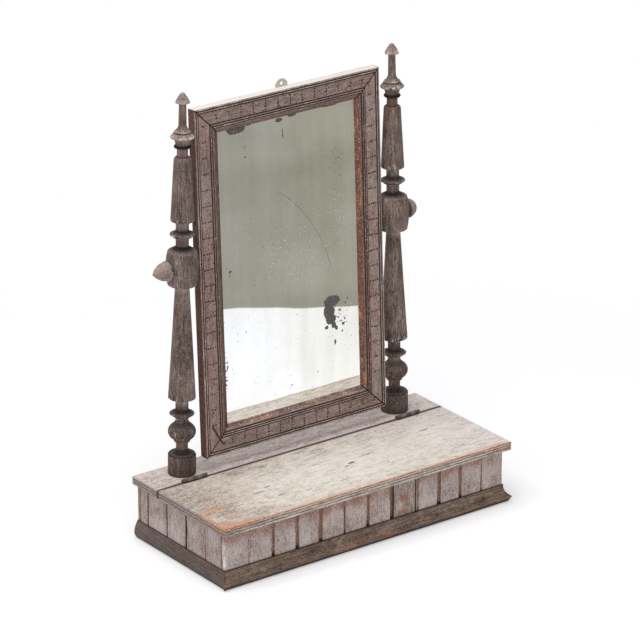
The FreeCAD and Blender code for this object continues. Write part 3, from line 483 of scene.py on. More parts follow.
def old_wood(name, stops, rubbed, stain, dirt_and_shade, pale, tint=WARM, along=70, across=900, flecks=0.55, pores=0.6):
    """Wood whose chips are chosen by a weighted sum of fine streaks, specks, mottling and the tone of the
    piece. stops: the chips from dark to light, each with its place. rubbed: dark and light bare wood.
    stain, dirt_and_shade, pale: one chip each. The dark chip serves for dirt and for painted shade, and the
    pale one for chalk and for painted highlights. tint: what the chips turn to in broad patches. along,
    across: streaks to the metre with and across the grain. flecks, pores: how strong the pale flecks and the
    dark pores are."""
    finish, tree, shader = new_finish(name)
    stops = [(place, paint(*chip)) for place, *chip in stops]
    tinted = [(place, tuple(unit(np.array(colour) * (*tint, 1)))) for place, colour in stops]
    bare = list(zip((0.38, 0.60), (paint(*chip) for chip in rubbed)))
    place = field(tree, "grain", "Vector")
    fine = cloud(tree, place, (along, across, across), 3.0, 0.65)
    speck = cloud(tree, place, (6 * along, 950, 950), 2.0, 0.6, 2.9)
    mottle = cloud(tree, place, (70, 150, 150), 5.0, 0.68, 7.7)
    broad = cloud(tree, place, (9, 22, 22), 3.0, 0.6, 5.3)
    value = weighted(tree, (fine, 0.36), (speck, 0.34), (mottle, 0.30), (field(tree, "tone"), 0.1))
    blush = spread(tree, weighted(tree, (broad, 1), (field(tree, "blush"), 0.3)), 0.36, 0.64)
    colour = blend(tree, blush, chips(tree, value, stops), chips(tree, value, tinted))

    uneven = work(tree, "ADD", swing(tree, mottle, 1.6), swing(tree, speck, 1.4))
    stained = spread(tree, work(tree, "ADD", field(tree, "stain"), uneven), 0.2, 0.9, 0.0, 0.85)
    colour = blend(tree, stained, colour, paint(*stain))
    worn = spread(tree, work(tree, "ADD", field(tree, "wear"), uneven), 0.35, 0.75)
    colour = blend(tree, worn, colour, chips(tree, fine, bare))
    pore = cloud(tree, place, (along * 0.6, across * 1.5, across * 1.5), 3.0, 0.6, 9.3)
    colour = blend(tree, spread(tree, pore, 0.60, 0.70, 0.0, pores), colour, paint(*dirt_and_shade))
    fleck = spread(tree, cloud(tree, place, (700, 1100, 1100), 2.0, 0.6, 11.3), 0.56, 0.68, 0.0, flecks)
    # Pale chalk, and painted highlights where a piece asks for them, turn the colour towards the pale chip.
    chalky = spread(tree, work(tree, "ADD", field(tree, "chalk"), uneven), 0.4, 0.8)
    colour = blend(tree, work(tree, "ADD", fleck, chalky), colour, paint(*pale))
    # Dirt, and painted shade where a piece asks for it, turn the colour towards the dark chip.
    soiled_and_shaded = weighted(tree, (field(tree, "grime"), 1), (uneven, 0.3))
    colour = blend(tree, spread(tree, soiled_and_shaded, 0.12, 0.8), colour, paint(*dirt_and_shade))

    tree.links.new(colour, shader.inputs["Base Color"])
    feed(tree, shader.inputs["Roughness"], spread(tree, mottle, 0.3, 0.7, 0.56, 0.84))
    shader.inputs["Specular IOR Level"].default_value = 0.3
    open_pore = work(tree, "MULTIPLY", spread(tree, pore, 0.58, 0.7), 0.5)
    height = work(tree, "SUBTRACT", work(tree, "ADD", fine, speck), open_pore)
    relief(tree, shader, height, 0.55, 0.3 * MM)
    print("finish", name)
    return finish


print("wood recipe ready")

# %% [markdown]
# ## Boards
# A board could be a cube with a bevel, but an old board is nowhere quite straight: its edges are rubbed
# unevenly and its faces are dented. So a board here is six grids that share their edge points.


# %% Grid of a board
def stations(low, high, step, *marks):
    """Places from low to high about a step apart, with more of them exactly at the marks."""
    even = np.linspace(low, high, max(3, int(round((high - low) / step)) + 1))
    wanted = np.concatenate([np.atleast_1d(mark) for mark in marks] + [[low, high]])
    wanted = np.unique(wanted[(wanted >= low) & (wanted <= high)].round(6))
    clear = np.abs(even[:, None] - wanted[None, :]).min(axis=1) > 0.3 * step
    return np.sort(np.concatenate([even[clear], wanted]))


def side_places(low, high, axis, step, rounding, *marks):
    """Places along one side of a block, with more of them close to both ends, where the edges are
    rounded."""
    inset = rounding * np.array((0.12, 0.4, 0.8, 1.3))
    return stations(low[axis], high[axis], step, low[axis] + inset, high[axis] - inset, *marks)


def block_grid(xs, ys, zs):
    """The outside of a block: for each axis a sheet at its low and its high end, sampled along the other
    two axes. Sheets share the points of their common edges."""
    samples = (xs, ys, zs)
    counts = [len(sample) for sample in samples]
    quads = []
    for axis in range(3):
        index = np.indices([counts[(axis + 1) % 3], counts[(axis + 2) % 3]])
        for end in (0, counts[axis] - 1):
            where = [None, None, None]
            where[axis] = np.full_like(index[0], end)
            where[(axis + 1) % 3], where[(axis + 2) % 3] = index
            faces = grid_faces(np.ravel_multi_index(where, counts))
            quads.append(faces if end else faces[:, ::-1])
    quads = np.concatenate(quads)
    used, renumbered = np.unique(quads.ravel(), return_inverse=True)
    where = np.unravel_index(used, counts)
    points = np.stack([sample[at] for sample, at in zip(samples, where)], axis=1)
    return points, renumbered.reshape(-1, 4)


print("a block of 3 x 3 x 3 places has", len(block_grid(*[np.arange(3.0)] * 3)[0]), "points")

# %% [markdown]
# The edges of a board are rounded by moving its points towards an inner block. Dents, reeds and grooves
# press a face in. Marks that sit at a certain place, such as a gouge or a stain, are soft ovals on a
# face.


# %% Wear on a board
def soften(points, low, high, radius):
    """Rounds a block's edges: each point goes to the given distance from the nearest point of the inner
    block."""
    core = np.clip(points, low + radius[:, None], high - radius[:, None])
    away = points - core
    return core + away * (radius / np.maximum(np.linalg.norm(away, axis=1), 1e-9))[:, None]


def press(points, axis, face, inward, depth, reach):
    """Pushes a face in: a point moves inward by the depth, and less the deeper it lies, so that nothing
    folds."""
    below = (points[:, axis] - face) * inward
    points[:, axis] += inward * depth * unit(1 - below / reach)


def edge_distance(points, low, high):
    """How far each surface point is from the nearest edge of its block: the second smallest distance to a
    side."""
    return np.sort(np.minimum(points - low, high - points), axis=1)[:, 1]


def bumps(first, second, ovals):
    """Soft-edged ovals on a face. An oval is (first, second, half length, half width, strength). It
    counts for its strength times e to the power of minus the cube of the distance from its middle, in
    half sizes, and where ovals meet the stronger one counts."""
    total = np.zeros_like(first)
    for u, v, half_u, half_v, strength in ovals:
        away = ((first - u) / half_u) ** 2 + ((second - v) / half_v) ** 2
        total = np.maximum(total, strength * np.exp(-away ** 1.5))
    return total


def spots(*rows):
    """Ovals written in millimetres and in a strength, as metres. The strength stays as it is."""
    return [(*(np.array(row[:4]) * MM), row[4]) for row in rows]


print("board helpers ready")

# %% [markdown]
# ## Lid and rear strip
# Both are plain pine boards with three small reeds run along their edges, and the edges at the seam are
# cut for the hinges. The lid is rubbed pale in the middle, its front edge is worn down to orange wood,
# and short gouges follow the grain. Reeds could be a bevel profile. Pressed into the grid, they can be
# worn here and there.

# %% Reeds and hinge beds
REEDS = 3
REED_DEPTH = 0.85 * MM
EDGE_REACH = 7 * MM
HINGE_BED = 1.05 * MM
HINGE_PLAY = 0.1 * MM
SLIVER = 0.02 * MM
top_wood = old_wood(
    "washed_top",
    [(0.40, 152, 134, 124), (0.46, 204, 191, 178), (0.52, 228, 219, 206), (0.60, 246, 241, 231)],
    rubbed=((172, 96, 56), (220, 146, 98)), stain=(206, 150, 112), dirt_and_shade=(92, 77, 69), pale=(251, 248, 243),
    tint=(1.02, 0.98, 1.07), along=45, across=800, flecks=0.8, pores=0.5)


def reed_depth(height, low, high):
    """Depth of the reeding at a height on the edge: each reed is round, so it falls away to the power of
    six towards the lines between the reeds."""
    turn = (height - low) / (high - low) * REEDS
    return REED_DEPTH * np.abs(2 * (turn - np.floor(np.clip(turn, 0, REEDS - 1e-6))) - 1) ** 6


def hinge_ends(hand):
    """Where a hinge's bed starts and ends along the seam."""
    low, high = corners(f"{hand}_hinge_strip_leaf")
    return low[0] - HINGE_PLAY, high[0] + HINGE_PLAY


def hinge_beds(x, z):
    """How far the seam's edge is cut back: evenly from end to end of each hinge, and nowhere below the
    leaf."""
    bed = np.zeros(len(x))
    for hand, _ in HANDS:
        start, end = hinge_ends(hand)
        bed[(x > start + SLIVER) & (x < end - SLIVER)] = HINGE_BED
    bed[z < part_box("left_hinge_lid_leaf")[0].z] = 0
    return bed


print("hinge beds in mm:", [(np.array(hinge_ends(hand)) / MM).round(1).tolist() for hand, _ in HANDS])

# %% [markdown]
# A top board starts as a plain grid. The reeds and the hinge beds are pressed into its edges, gouges and
# dents into its top, and the fields then say where it is rubbed, dirty, stained or light. Painted shade
# darkens its end faces, its reeded edge and the lines between its reeds, and the crests of the reeds get
# painted highlights. One function makes both boards.


# %% Top boards
def top_board(name, node, body, reeded, gouges, stains, tones, wear_front):
    """A reeded board. reeded is the long edge with reeds, -1 for the front and 1 for the back. tones says
    where it is light and dark, how light it is all over and how rosy, and wear_front how worn its front
    edge is."""
    seed = seed_of(name)
    low, high = corners(node)
    reeds = np.linspace(low[2], high[2], REEDS + 1)
    reed_marks = (reeds[:, None] + np.array((-0.75, -0.4, 0, 0.4, 0.75)) * MM).ravel()
    hinge_marks = np.concatenate([hinge_ends(hand) for hand, _ in HANDS])
    flat, faces = block_grid(
        side_places(low, high, 0, 2.6 * MM, 1.5 * MM, hinge_marks),
        side_places(low, high, 1, 1.1 * MM, 1.5 * MM), stations(low[2], high[2], 0.8 * MM, reed_marks))
    x, y, z = flat.T
    edge = edge_distance(flat, low, high)
    radius = (0.55 + 0.25 * ripple(flat, 70 * MM, seed) + 0.12 * ripple(flat, 14 * MM, seed + 1)) * MM
    points = soften(flat, low, high, np.clip(radius, 0.15 * MM, None))

    depth = reed_depth(points[:, 2], low[2], high[2])
    worn_reeds = np.clip(1 - 0.35 * ripple(flat, 60 * MM, seed + 2) ** 2, 0.4, 1)
    front, back = (low[1], 1), (high[1], -1)
    (long_edge, inward), (seam, seam_inward) = (front, back) if reeded < 0 else (back, front)
    for axis, face, way in ((0, low[0], 1), (0, high[0], -1), (1, long_edge, inward)):
        press(points, axis, face, way, depth * worn_reeds, EDGE_REACH)
    press(points, 1, seam, seam_inward, hinge_beds(x, z), EDGE_REACH)
    top = z > (low[2] + high[2]) / 2
    ragged_x = 1.6 * MM * ripple(flat, 9 * MM, seed + 7)
    ragged_y = 0.5 * MM * ripple(flat, 5 * MM, seed + 8)
    cut = bumps(x + ragged_x, y + ragged_y, gouges) * top
    dents = unit(ripple(flat * np.array((0.35, 1, 1)), 16 * MM, seed + 3) - 0.55) * 0.35 * MM
    press(points, 2, high[2], -1, cut + dents * top, 6 * MM)
    points[:, 2] += 0.22 * MM * ripple(flat, 260 * MM, seed + 4) * (1 - fade(edge, 30 * MM))

    to_end = np.minimum(x - low[0], high[0] - x)
    to_long_edge = (y - long_edge) * inward
    seam_dirt = np.clip(1.7 * fade(np.abs(y - seam), 1.3 * MM), 0, 1.1)
    # Painted shade, with some dirt, in the lines between the reeds on the end faces and on the reeded edge.
    in_line = (depth / REED_DEPTH) ** 0.6
    reed_line_shade = (edge > 0.2 * MM) * in_line * (np.minimum(to_end, to_long_edge) < 0.2 * MM)
    # The end faces and the reeded edge are darker in tone and grime, partly by painted shade and partly by
    # their own darker colour.
    at_end = np.abs(x) > high[0] - 0.3 * MM
    rim = at_end | (to_long_edge < 0.3 * MM)
    rim_dark = rim * np.where(at_end, 1.0, 0.5) * np.where(z < high[2] - MM, 1.0, 0.3)
    on_front = bell(np.abs(y - low[1]), 1.2 * MM) * (z > high[2] - MM)
    wear = 0.3 * fade(edge, 0.9 * MM) * top
    wear = wear + wear_front * on_front * (0.85 + 0.35 * ripple(flat, 90 * MM, seed + 5))
    worn_end = unit(ripple(flat, 60 * MM, seed + 9) + x / high[0] - 0.7) * (reeded < 0)
    under = np.where(z < low[2] + 0.5 * MM, 0.45, 0)
    make_piece(
        name, points, [faces], top_wood, body, "top_wood", node, 48,
        grain=grain_place(*points.T, seed),
        wear=wear * (1 - unit(seam_dirt)) + 1.2 * rim_dark * worn_end,
        grime=np.maximum.reduce([reed_line_shade, seam_dirt, np.clip(cut / (0.6 * MM), 0, 0.85),
                                 0.2 * dents / (0.3 * MM), 0.22 * rim_dark, under]),
        stain=bumps(x, y, stains) * top,
        # Painted highlights on the crests of the reeds along the darker edges.
        chalk=0.3 * rim_dark * (1 - depth / REED_DEPTH),
        blush=tones["blush"] + unit(x / high[0] - 0.45) * 1.8,
        tone=bumps(x, y, tones["light"]) - bumps(x, y, tones["dark"]) + tones["all"] - 0.9 * rim_dark)


print("a top board has", REEDS, "reeds")

# %% [markdown]
# The marks on the lid stand where the photograph shows them: across, in depth, half a length and half a
# width, in millimetres. They could be painted by hand on an image, but a list can be read and mended.

# %% Lid
GOUGE = 0.7 * MM
deep_gouges = (
    (-113, -31, 8, 0.8), (-96, -24, 5, 0.7), (-94, -50, 6, 0.8), (-63, -57, 4, 0.8), (19, -27, 5, 1.9),
    (9, -32, 4, 0.9), (48, -19, 10, 0.8), (72, -21, 1.4, 1.1), (55, -50, 1.8, 1.1), (140, -2.5, 7, 0.8))
fair_gouges = ((-20, -7, 12, 0.6), (-37, -22, 13, 0.6), (150, -62, 6, 0.7))
faint_gouges = (
    (-70, 13, 14, 0.6), (110, -40, 8, 0.6), (-140, 5, 9, 0.7), (95, 12, 10, 0.6), (-10, -70, 8, 0.6))
lid_gouges = spots(*(
    (*place, share * GOUGE)
    for share, places in ((1, deep_gouges), (0.6, fair_gouges), (0.5, faint_gouges)) for place in places))
lid_stains = spots(
    (-180, -40, 20, 11, 0.75), (-168, -63, 16, 8, 0.5), (62, -2, 8, 3, 0.6), (-10, -31, 15, 1.6, 0.6),
    (174, -24, 12, 4, 0.45), (181, 8, 8, 10, 0.4), (-172, -85, 30, 6, 0.8), (-192, -82, 15, 10, 1.0),
    (-199, -66, 2.5, 20, 1.0), (-60, -86, 90, 3, 0.5), (90, -87, 60, 2.5, 0.5), (170, -86, 30, 4, 0.6),
    (-150, -10, 50, 35, 0.25))
lid_tones = {
    "light": spots((20, -30, 130, 40, 0.5), (-60, -60, 60, 20, 0.3), (140, -20, 60, 40, 0.45)),
    "dark": spots((-195, -10, 60, 70, 0.9), (-168, -53, 16, 9, 1.1), (-188, -80, 20, 12, 0.9),
                  (-110, 28, 70, 12, 0.5), (-160, -72, 50, 18, 0.7)),
    "all": 0.1, "blush": -0.5}
top_board("lid_board", "lid", "lid", -1, lid_gouges, lid_stains, lid_tones, 1.1)

# %% [markdown]
# The strip is the same kind of board turned round: its reeded long edge is at the back. It is rosier than
# the lid, and its front edge is less worn.

# %% Rear strip
strip_gouges = spots((90, 60, 6, 0.7, 0.3 * MM), (-60, 70, 9, 0.7, 0.3 * MM))
strip_stains = spots((-165, 43, 28, 2.5, 0.7), (120, 42, 40, 2, 0.3))
strip_tones = {
    "light": [], "dark": spots((-190, 60, 20, 20, 0.3), (20, 50, 110, 4, 0.4)), "all": -0.1, "blush": 1.0}
top_board("strip_board", "top_strip", "base", 1, strip_gouges, strip_stains, strip_tones, 0.5)

# %% [markdown]
# ## Walls of the box
# The front and the sides were run with upright grooves, so that each board looks like a row of blocks.
# Some grooves are clogged with old paint, some are open and dark. The eighth block of the front is a
# later repair, let into the wall with open joints round it. The back was never painted.

# %% Wall finishes and grooves
GROOVE_RAMP = 0.45 * MM
BED_EDGE = 0.05 * MM
PLINTH_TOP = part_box("plinth_front")[1].z
box_wood = old_wood(
    "washed_box",
    [(0.40, 140, 118, 110), (0.47, 182, 164, 158), (0.53, 202, 187, 183), (0.61, 222, 211, 207)],
    rubbed=((138, 84, 58), (190, 128, 96)), stain=(164, 112, 86), dirt_and_shade=(70, 54, 48), pale=(244, 240, 237),
    along=110, across=800, flecks=0.85, pores=0.22)
bare_wood = old_wood(
    "bare", [(0.40, 96, 76, 60), (0.47, 132, 108, 86), (0.53, 156, 132, 108), (0.61, 178, 156, 132)],
    rubbed=((122, 92, 66), (170, 138, 104)), stain=(92, 70, 54), dirt_and_shade=(48, 38, 32), pale=(190, 170, 148),
    along=20, across=420, flecks=0.2)

# %% [markdown]
# A wall is an upright grid. Its grooves have sloping sides and waver a little, and they are pressed into
# one face. Booleans would cut them too, but only straight and clean. The bed for the repair is pressed in
# alike.


# %% Wall boards
def wall_board(name, node, axis, outward, grooves, bed=None, finish=box_wood, slot="box_wood", rusty=1.1,
               tone=0.0):
    """An upright board with grooves on one face. axis is the way along the board, 0 or 1, and outward the
    side that the grooved face looks to. A groove is (place along, half width, depth). bed is (start, end,
    depth). finish is its wood, and slot is not used. rusty is how brown the grooves are, and tone how light
    the board is."""
    seed = seed_of(name)
    low, high = corners(node)
    through = 1 - axis
    marks = [place + side * (half + ramp)
             for place, half, _ in grooves for side in (-1, 1) for ramp in (0, GROOVE_RAMP)]
    if bed:
        marks += [bed[0] - BED_EDGE, bed[0], bed[1], bed[1] + BED_EDGE]
    samples = [None, None, side_places(low, high, 2, 1.8 * MM, MM)]
    samples[axis] = side_places(low, high, axis, 2.2 * MM, 1.2 * MM, np.array(marks))
    samples[through] = side_places(low, high, through, 0.9 * MM, MM)
    flat, faces = block_grid(*samples)
    run, height = flat[:, axis], flat[:, 2]
    edge = edge_distance(flat, low, high)
    radius = (0.5 + 0.25 * ripple(flat, 30 * MM, seed) + 0.15 * ripple(flat, 7 * MM, seed + 1)) * MM
    points = soften(flat, low, high, np.clip(radius, 0.12 * MM, None))

    wavy_run = run + 0.25 * MM * ripple(flat, 40 * MM, seed + 2)
    depth = np.zeros(len(flat))
    lips = np.zeros(len(flat))
    for place, half, groove_depth in grooves:
        beyond = np.abs(wavy_run - place) - half - GROOVE_RAMP
        depth = np.maximum(depth, groove_depth * unit(-beyond / GROOVE_RAMP))
        lips = np.maximum(lips, fade(np.abs(beyond), 0.9 * MM))
    if bed:
        depth = np.where((run > bed[0] - SLIVER) & (run < bed[1] + SLIVER), bed[2], depth)
    dents = unit(ripple(flat * np.array((1, 1, 0.4)), 15 * MM, seed + 3) - 0.45) * 0.5 * MM
    thick = high[through] - low[through]
    face, inward = (high[through], -1) if outward > 0 else (low[through], 1)
    press(points, through, face, inward, depth + dents * (depth <= 0), thick)

    outer = (flat[:, through] - face) * inward < 0.5 * thick
    dirt_foot = PLINTH_TOP if grooves else low[2]
    floor_dirt = unit(fade(height - dirt_foot, 2.5 * MM) * (height > dirt_foot - 4 * MM))
    in_groove = unit(depth / (1.2 * MM))
    dark_groove = 0.9 - 0.5 * rusty
    grime = np.maximum(in_groove * (dark_groove + (1 - dark_groove) * floor_dirt), 0.45 * floor_dirt) * outer
    rusty_lips = 0.5 * rusty * lips * (0.5 + ripple(flat, 12 * MM, seed + 4))
    high_part = unit((height - high[2] + 26 * MM) / (22 * MM))
    brown_top = high_part * rusty * (0.7 + 0.4 * ripple(flat, 22 * MM, seed + 6))
    corner = fade(np.abs(run - low[axis]), 1.3 * MM) * outer * (height > PLINTH_TOP)
    chalky_corner, dirty_corner = corner * (axis == 0), corner * (axis == 1)
    make_piece(
        name, points, [faces], finish, "base", slot, node, 45,
        grain=grain_place(points[:, 2], points[:, axis], points[:, through], seed),
        wear=0.30 * fade(edge, 0.9 * MM) * outer,
        grime=np.maximum.reduce([grime, depth > 3 * MM, 0.9 * dirty_corner]),
        stain=np.maximum(np.maximum(in_groove * rusty, rusty_lips) * outer, brown_top),
        chalk=0.75 * chalky_corner * (0.6 + ripple(flat, 18 * MM, seed + 7)),
        tone=tone + 0.5 * ripple(flat, 45 * MM, seed + 5))


print("sides of a groove slope over", GROOVE_RAMP / MM, "mm")

# %% [markdown]
# Seven blocks lie to the left of the repair and four to the right. The grooves between them are not
# alike, so each has a width and a depth of its own.

# %% Front wall
BLOCKS_LEFT = 7
BLOCKS_RIGHT = 4
REPAIR_GAP = 0.6 * MM
REPAIR_BED = 3.2 * MM
GROOVE = 4.2 * MM
wall_low, wall_high = corners("front_wall")
repair_low, repair_high = corners("repair_block")
beside = REPAIR_GAP + GROOVE / 2
front_places = np.concatenate([
    np.linspace(wall_low[0], repair_low[0] - beside, BLOCKS_LEFT + 1)[1:],
    np.linspace(repair_high[0] + beside, wall_high[0], BLOCKS_RIGHT + 1)[:-1]])
front_widths = np.array((1.5, 3.8, 4.4, 4.3, 1.7, 3.9, 3.6, 1.6, 4.5, 3.6, 1.8)) * MM
front_depths = np.array((0.7, 2.0, 2.2, 2.2, 2.0, 2.1, 2.2, 1.2, 2.2, 2.2, 1.2)) * MM
front_grooves = list(zip(front_places, front_widths / 2, front_depths))
repair_bed = (repair_low[0] - REPAIR_GAP, repair_high[0] + REPAIR_GAP, REPAIR_BED)
wall_board("front_wall_board", "front_wall", 0, -1, front_grooves, repair_bed)

# %% [markdown]
# The sides have four grooves each, counted from the front, where dirt has gathered in the joint with the
# front wall. The back is a plain board.

# %% Side and back walls
SIDE_PITCH = 37 * MM
side_widths = np.array((1.3, 3.2, 2.0, 1.6)) * MM
side_depths = np.array((0.7, 2.2, 2.0, 1.6)) * MM
side_groove_places = wall_low[1] + np.arange(1, len(side_widths) + 1) * SIDE_PITCH
side_grooves = list(zip(side_groove_places, side_widths / 2, side_depths))
wall_board("left_wall_board", "left_wall", 1, -1, side_grooves, rusty=0.2, tone=-0.15)
wall_board("right_wall_board", "right_wall", 1, 1, side_grooves, rusty=0.4)
wall_board("back_wall_board", "back_wall", 0, 1, [], finish=bare_wood, slot="bare_wood", rusty=0.1)

# %% [markdown]
# The repair block is a small separate piece of another wood. Its corners are chipped, it stands a hair
# behind the wall's face, and old red paint shows in patches. The bottom board is made the same way, of
# bare wood.

# %% Repair block and bottom board
repair_wood = old_wood(
    "repair", [(0.40, 104, 86, 76), (0.47, 150, 134, 122), (0.53, 180, 166, 154), (0.61, 214, 204, 194)],
    rubbed=((132, 80, 52), (186, 130, 90)), stain=(176, 112, 72), dirt_and_shade=(46, 34, 29), pale=(226, 218, 210))


def small_block(name, node, finish, slot, steps, chip, recess, stains, grain_order):
    """A plain block with chipped edges. steps are the spaces of its grid, recess sets its front back a
    little, and grain_order names the axis along the grain first."""
    seed = seed_of(name)
    low, high = corners(node)
    flat, faces = block_grid(*(side_places(low, high, axis, steps[axis] * MM, 2 * chip) for axis in range(3)))
    rough = 0.6 + 0.5 * ripple(flat, 16 * MM, seed) + 0.4 * ripple(flat, 5 * MM, seed + 1)
    points = soften(flat, low, high, chip * np.clip(rough, 0.15, 2))
    dents = unit(ripple(flat, 9 * MM, seed + 2) - 0.4) * chip
    press(points, 1, low[1], 1, recess + dents, high[1] - low[1])
    edge = edge_distance(flat, low, high)
    make_piece(
        name, points, [faces], finish, "base", slot, node, 50,
        grain=grain_place(*points.T[list(grain_order)], seed),
        wear=0.15 * fade(edge, 0.8 * MM), grime=np.clip(1.6 * fade(edge, 0.9 * MM), 0, 1.1),
        stain=bumps(flat[:, 0], flat[:, 2], stains), tone=0.4 * ripple(flat, 25 * MM, seed + 3))


repair_stains = spots((54, 41, 6, 5, 1.0), (57, 33, 4, 3, 0.9), (52, 25, 9, 2.5, 0.9), (44, 22, 5, 2, 0.7))
small_block("repair_patch", "repair_block", repair_wood, "box_wood", (0.9, 0.8, 0.9), 0.6 * MM, 0.55 * MM,
            repair_stains, (2, 0, 1))
small_block("bottom_panel", "bottom_board", bare_wood, "bare_wood", (6, 3, 1.5), 0.4 * MM, 0.0, [], (0, 1, 2))

# %% [markdown]
# ## Mouldings
# A moulding is a profile carried along a straight path: every place along the path gets a copy of the
# profile, and at a mitre the copies shear, so that the far edge runs longer or shorter than the near one.
# The plinth and the mirror's frame are both made this way. Profiles are drawn with the same arcs as the
# pieces of the frame.


# %% Moulding helpers
def outline(points):
    """A line through stations (first, second, bulge, step), sampled about a step apart. A bulge bends the
    stretch that leads to its station into an arc: it is the tangent of a quarter of the arc's angle,
    positive to the right of the way of drawing."""
    line = [np.array([points[0][:2]], dtype=float)]
    for before, (first, second, bulge, step) in zip(points[:-1], points[1:]):
        start = np.array(before[:2], dtype=float)
        chord = np.array((first, second)) - start
        length = np.hypot(*chord)
        share = np.linspace(0, 1, max(2, int(np.ceil(length * (1 + abs(bulge)) / step)) + 1))[1:]
        if bulge:
            half = 2 * np.arctan(abs(bulge))
            angle = (2 * share - 1) * half
            forward = 0.5 + 0.5 * np.sin(angle) / np.sin(half)
            aside = 0.5 * (np.cos(angle) - np.cos(half)) / np.sin(half) * np.sign(bulge)
        else:
            forward, aside = share, np.zeros_like(share)
        line.append(start + forward[:, None] * chord + aside[:, None] * np.array((chord[1], -chord[0])))
    return np.concatenate(line)


def ring_faces(rows, count):
    """Faces of a closed profile of count points carried along rows places, with a flat face at each
    end."""
    index = np.arange(rows * count).reshape(rows, count)
    wrapped = np.concatenate([index, index[:, :1]], axis=1)
    return [grid_faces(wrapped), index[:1, ::-1], index[-1:]]


def carry(along, out, up, start, way, outward, upward):
    """Turns places along a run, out from it and up from it into points: the start plus each measure times
    its way."""
    grids = [np.asarray(grid)[..., None] for grid in (along, out, up)]
    points = start + grids[0] * way + grids[1] * outward + grids[2] * upward
    return points.reshape(-1, 3)


print("moulding helpers ready")

# %% [markdown]
# The plinth is a hollow moulding with an undercut lip at the front and on the right. On the left it is a
# plain swelling one of smoother wood. Its lips are rubbed, painted shade darkens its lowest part below the
# lip, and dirt lies along the wall.

# %% Plinth sections and finishes
LIP = 6.8 * MM
LIP_EDGE = 1.2 * MM
BELLY = 7 * MM
UNDERCUT = 3.5 * MM
CREST = 1.4 * MM
PROJECTION = corners("plinth_right")[1][0] - wall_high[0]
ROUND_OUT = wall_low[0] - corners("plinth_left")[0][0]
UPRIGHT = np.array((0, 0, 1.0))
plinth_wood = old_wood(
    "plinth", [(0.40, 66, 52, 44), (0.47, 108, 90, 79), (0.53, 130, 110, 97), (0.60, 166, 148, 132)],
    rubbed=((128, 80, 54), (178, 120, 84)), stain=(120, 82, 58), dirt_and_shade=(46, 37, 32), pale=(206, 192, 174),
    along=30, flecks=0.5, pores=0.3)
smooth_plinth = old_wood(
    "smooth_plinth", [(0.40, 84, 73, 68), (0.47, 104, 92, 87), (0.53, 115, 102, 97), (0.60, 136, 123, 117)],
    rubbed=((118, 92, 78), (150, 122, 106)), stain=(106, 89, 80), dirt_and_shade=(52, 44, 40), pale=(170, 158, 150),
    along=30, flecks=0.2, pores=0.12)
cove = outline([
    (0, 0, 0, MM), (PROJECTION - UNDERCUT, 0, 0, 2 * MM), (PROJECTION, LIP - LIP_EDGE, 0, 0.9 * MM),
    (PROJECTION, LIP, 0, 0.4 * MM), (CREST, PLINTH_TOP, -0.32, 0.9 * MM), (0, PLINTH_TOP, 0, 0.7 * MM)])
swell = outline([
    (0, 0, 0, MM), (0.5 * ROUND_OUT, 0, 0, 2 * MM), (ROUND_OUT, BELLY, 0.2, 0.8 * MM),
    (CREST / 2, PLINTH_TOP, 0.14, 0.9 * MM), (0, PLINTH_TOP, 0, 0.4 * MM)])
print("cove has", len(cove), "places, swell", len(swell))

# %% [markdown]
# A run of the plinth is its section carried along a wall. The front and the sides meet in mitres at the
# two front corners, and at the back the sides end square.


# %% Plinth runs
def plinth(name, node, section, finish, start, way, outward, length, mitres, rub, shade):
    """A run of the plinth: its section carried along the way, and set back a little where the wood is
    uneven. mitres says for each end how much longer the run gets as it stands out, 1 or 0. rub is how
    worn its lip is, and shade how dark it is."""
    seed = seed_of(name)
    share = stations(0, 1, 2 * MM / length)
    out = np.broadcast_to(section[:, 0], (len(share), len(section)))
    up = np.broadcast_to(section[:, 1], out.shape)
    first, last = -mitres[0] * out, length + mitres[1] * out
    along = first + (last - first) * share[:, None]
    place = (np.array(start), np.array(way), np.array(outward), UPRIGHT)
    points = carry(along, out, up, *place)
    rough = ripple(points * np.array((0.5, 0.5, 1)), 11 * MM, seed).reshape(out.shape)
    wave = ripple(points, 60 * MM, seed + 1).reshape(out.shape)
    loose = unit(np.minimum(out, up) / (2 * MM))
    out = out - loose * (0.16 * MM * (1 + rough) + 0.2 * MM * unit(wave - 0.3))
    points = carry(along, out, up, *place)
    height = up.ravel()
    lip_wear = bell(height - LIP + LIP_EDGE / 2, 1.3 * MM) * (out.ravel() > 0.6 * PROJECTION)
    end_dirt = np.where((share < 0.0001) | (share > 0.9999), 0.35, 0)[:, None] + np.zeros_like(out)
    # Painted shade below the lip, getting darker towards the floor.
    under_lip_shade = 0.7 * unit((LIP - LIP_EDGE - height) / (4 * MM))
    make_piece(
        name, points, ring_faces(*out.shape), finish, "base", "box_wood", node, 50,
        grain=grain_place(along.ravel(), out.ravel(), height, seed),
        wear=rub * lip_wear * (0.7 + 0.7 * ripple(points, 55 * MM, seed + 2)),
        grime=np.maximum.reduce([0.75 * fade(PLINTH_TOP - height, 0.9 * MM), end_dirt.ravel(), under_lip_shade]),
        stain=0.1 + 0.4 * ripple(points, 35 * MM, seed + 3),
        tone=0.4 * ripple(points, 50 * MM, seed + 4) - shade)


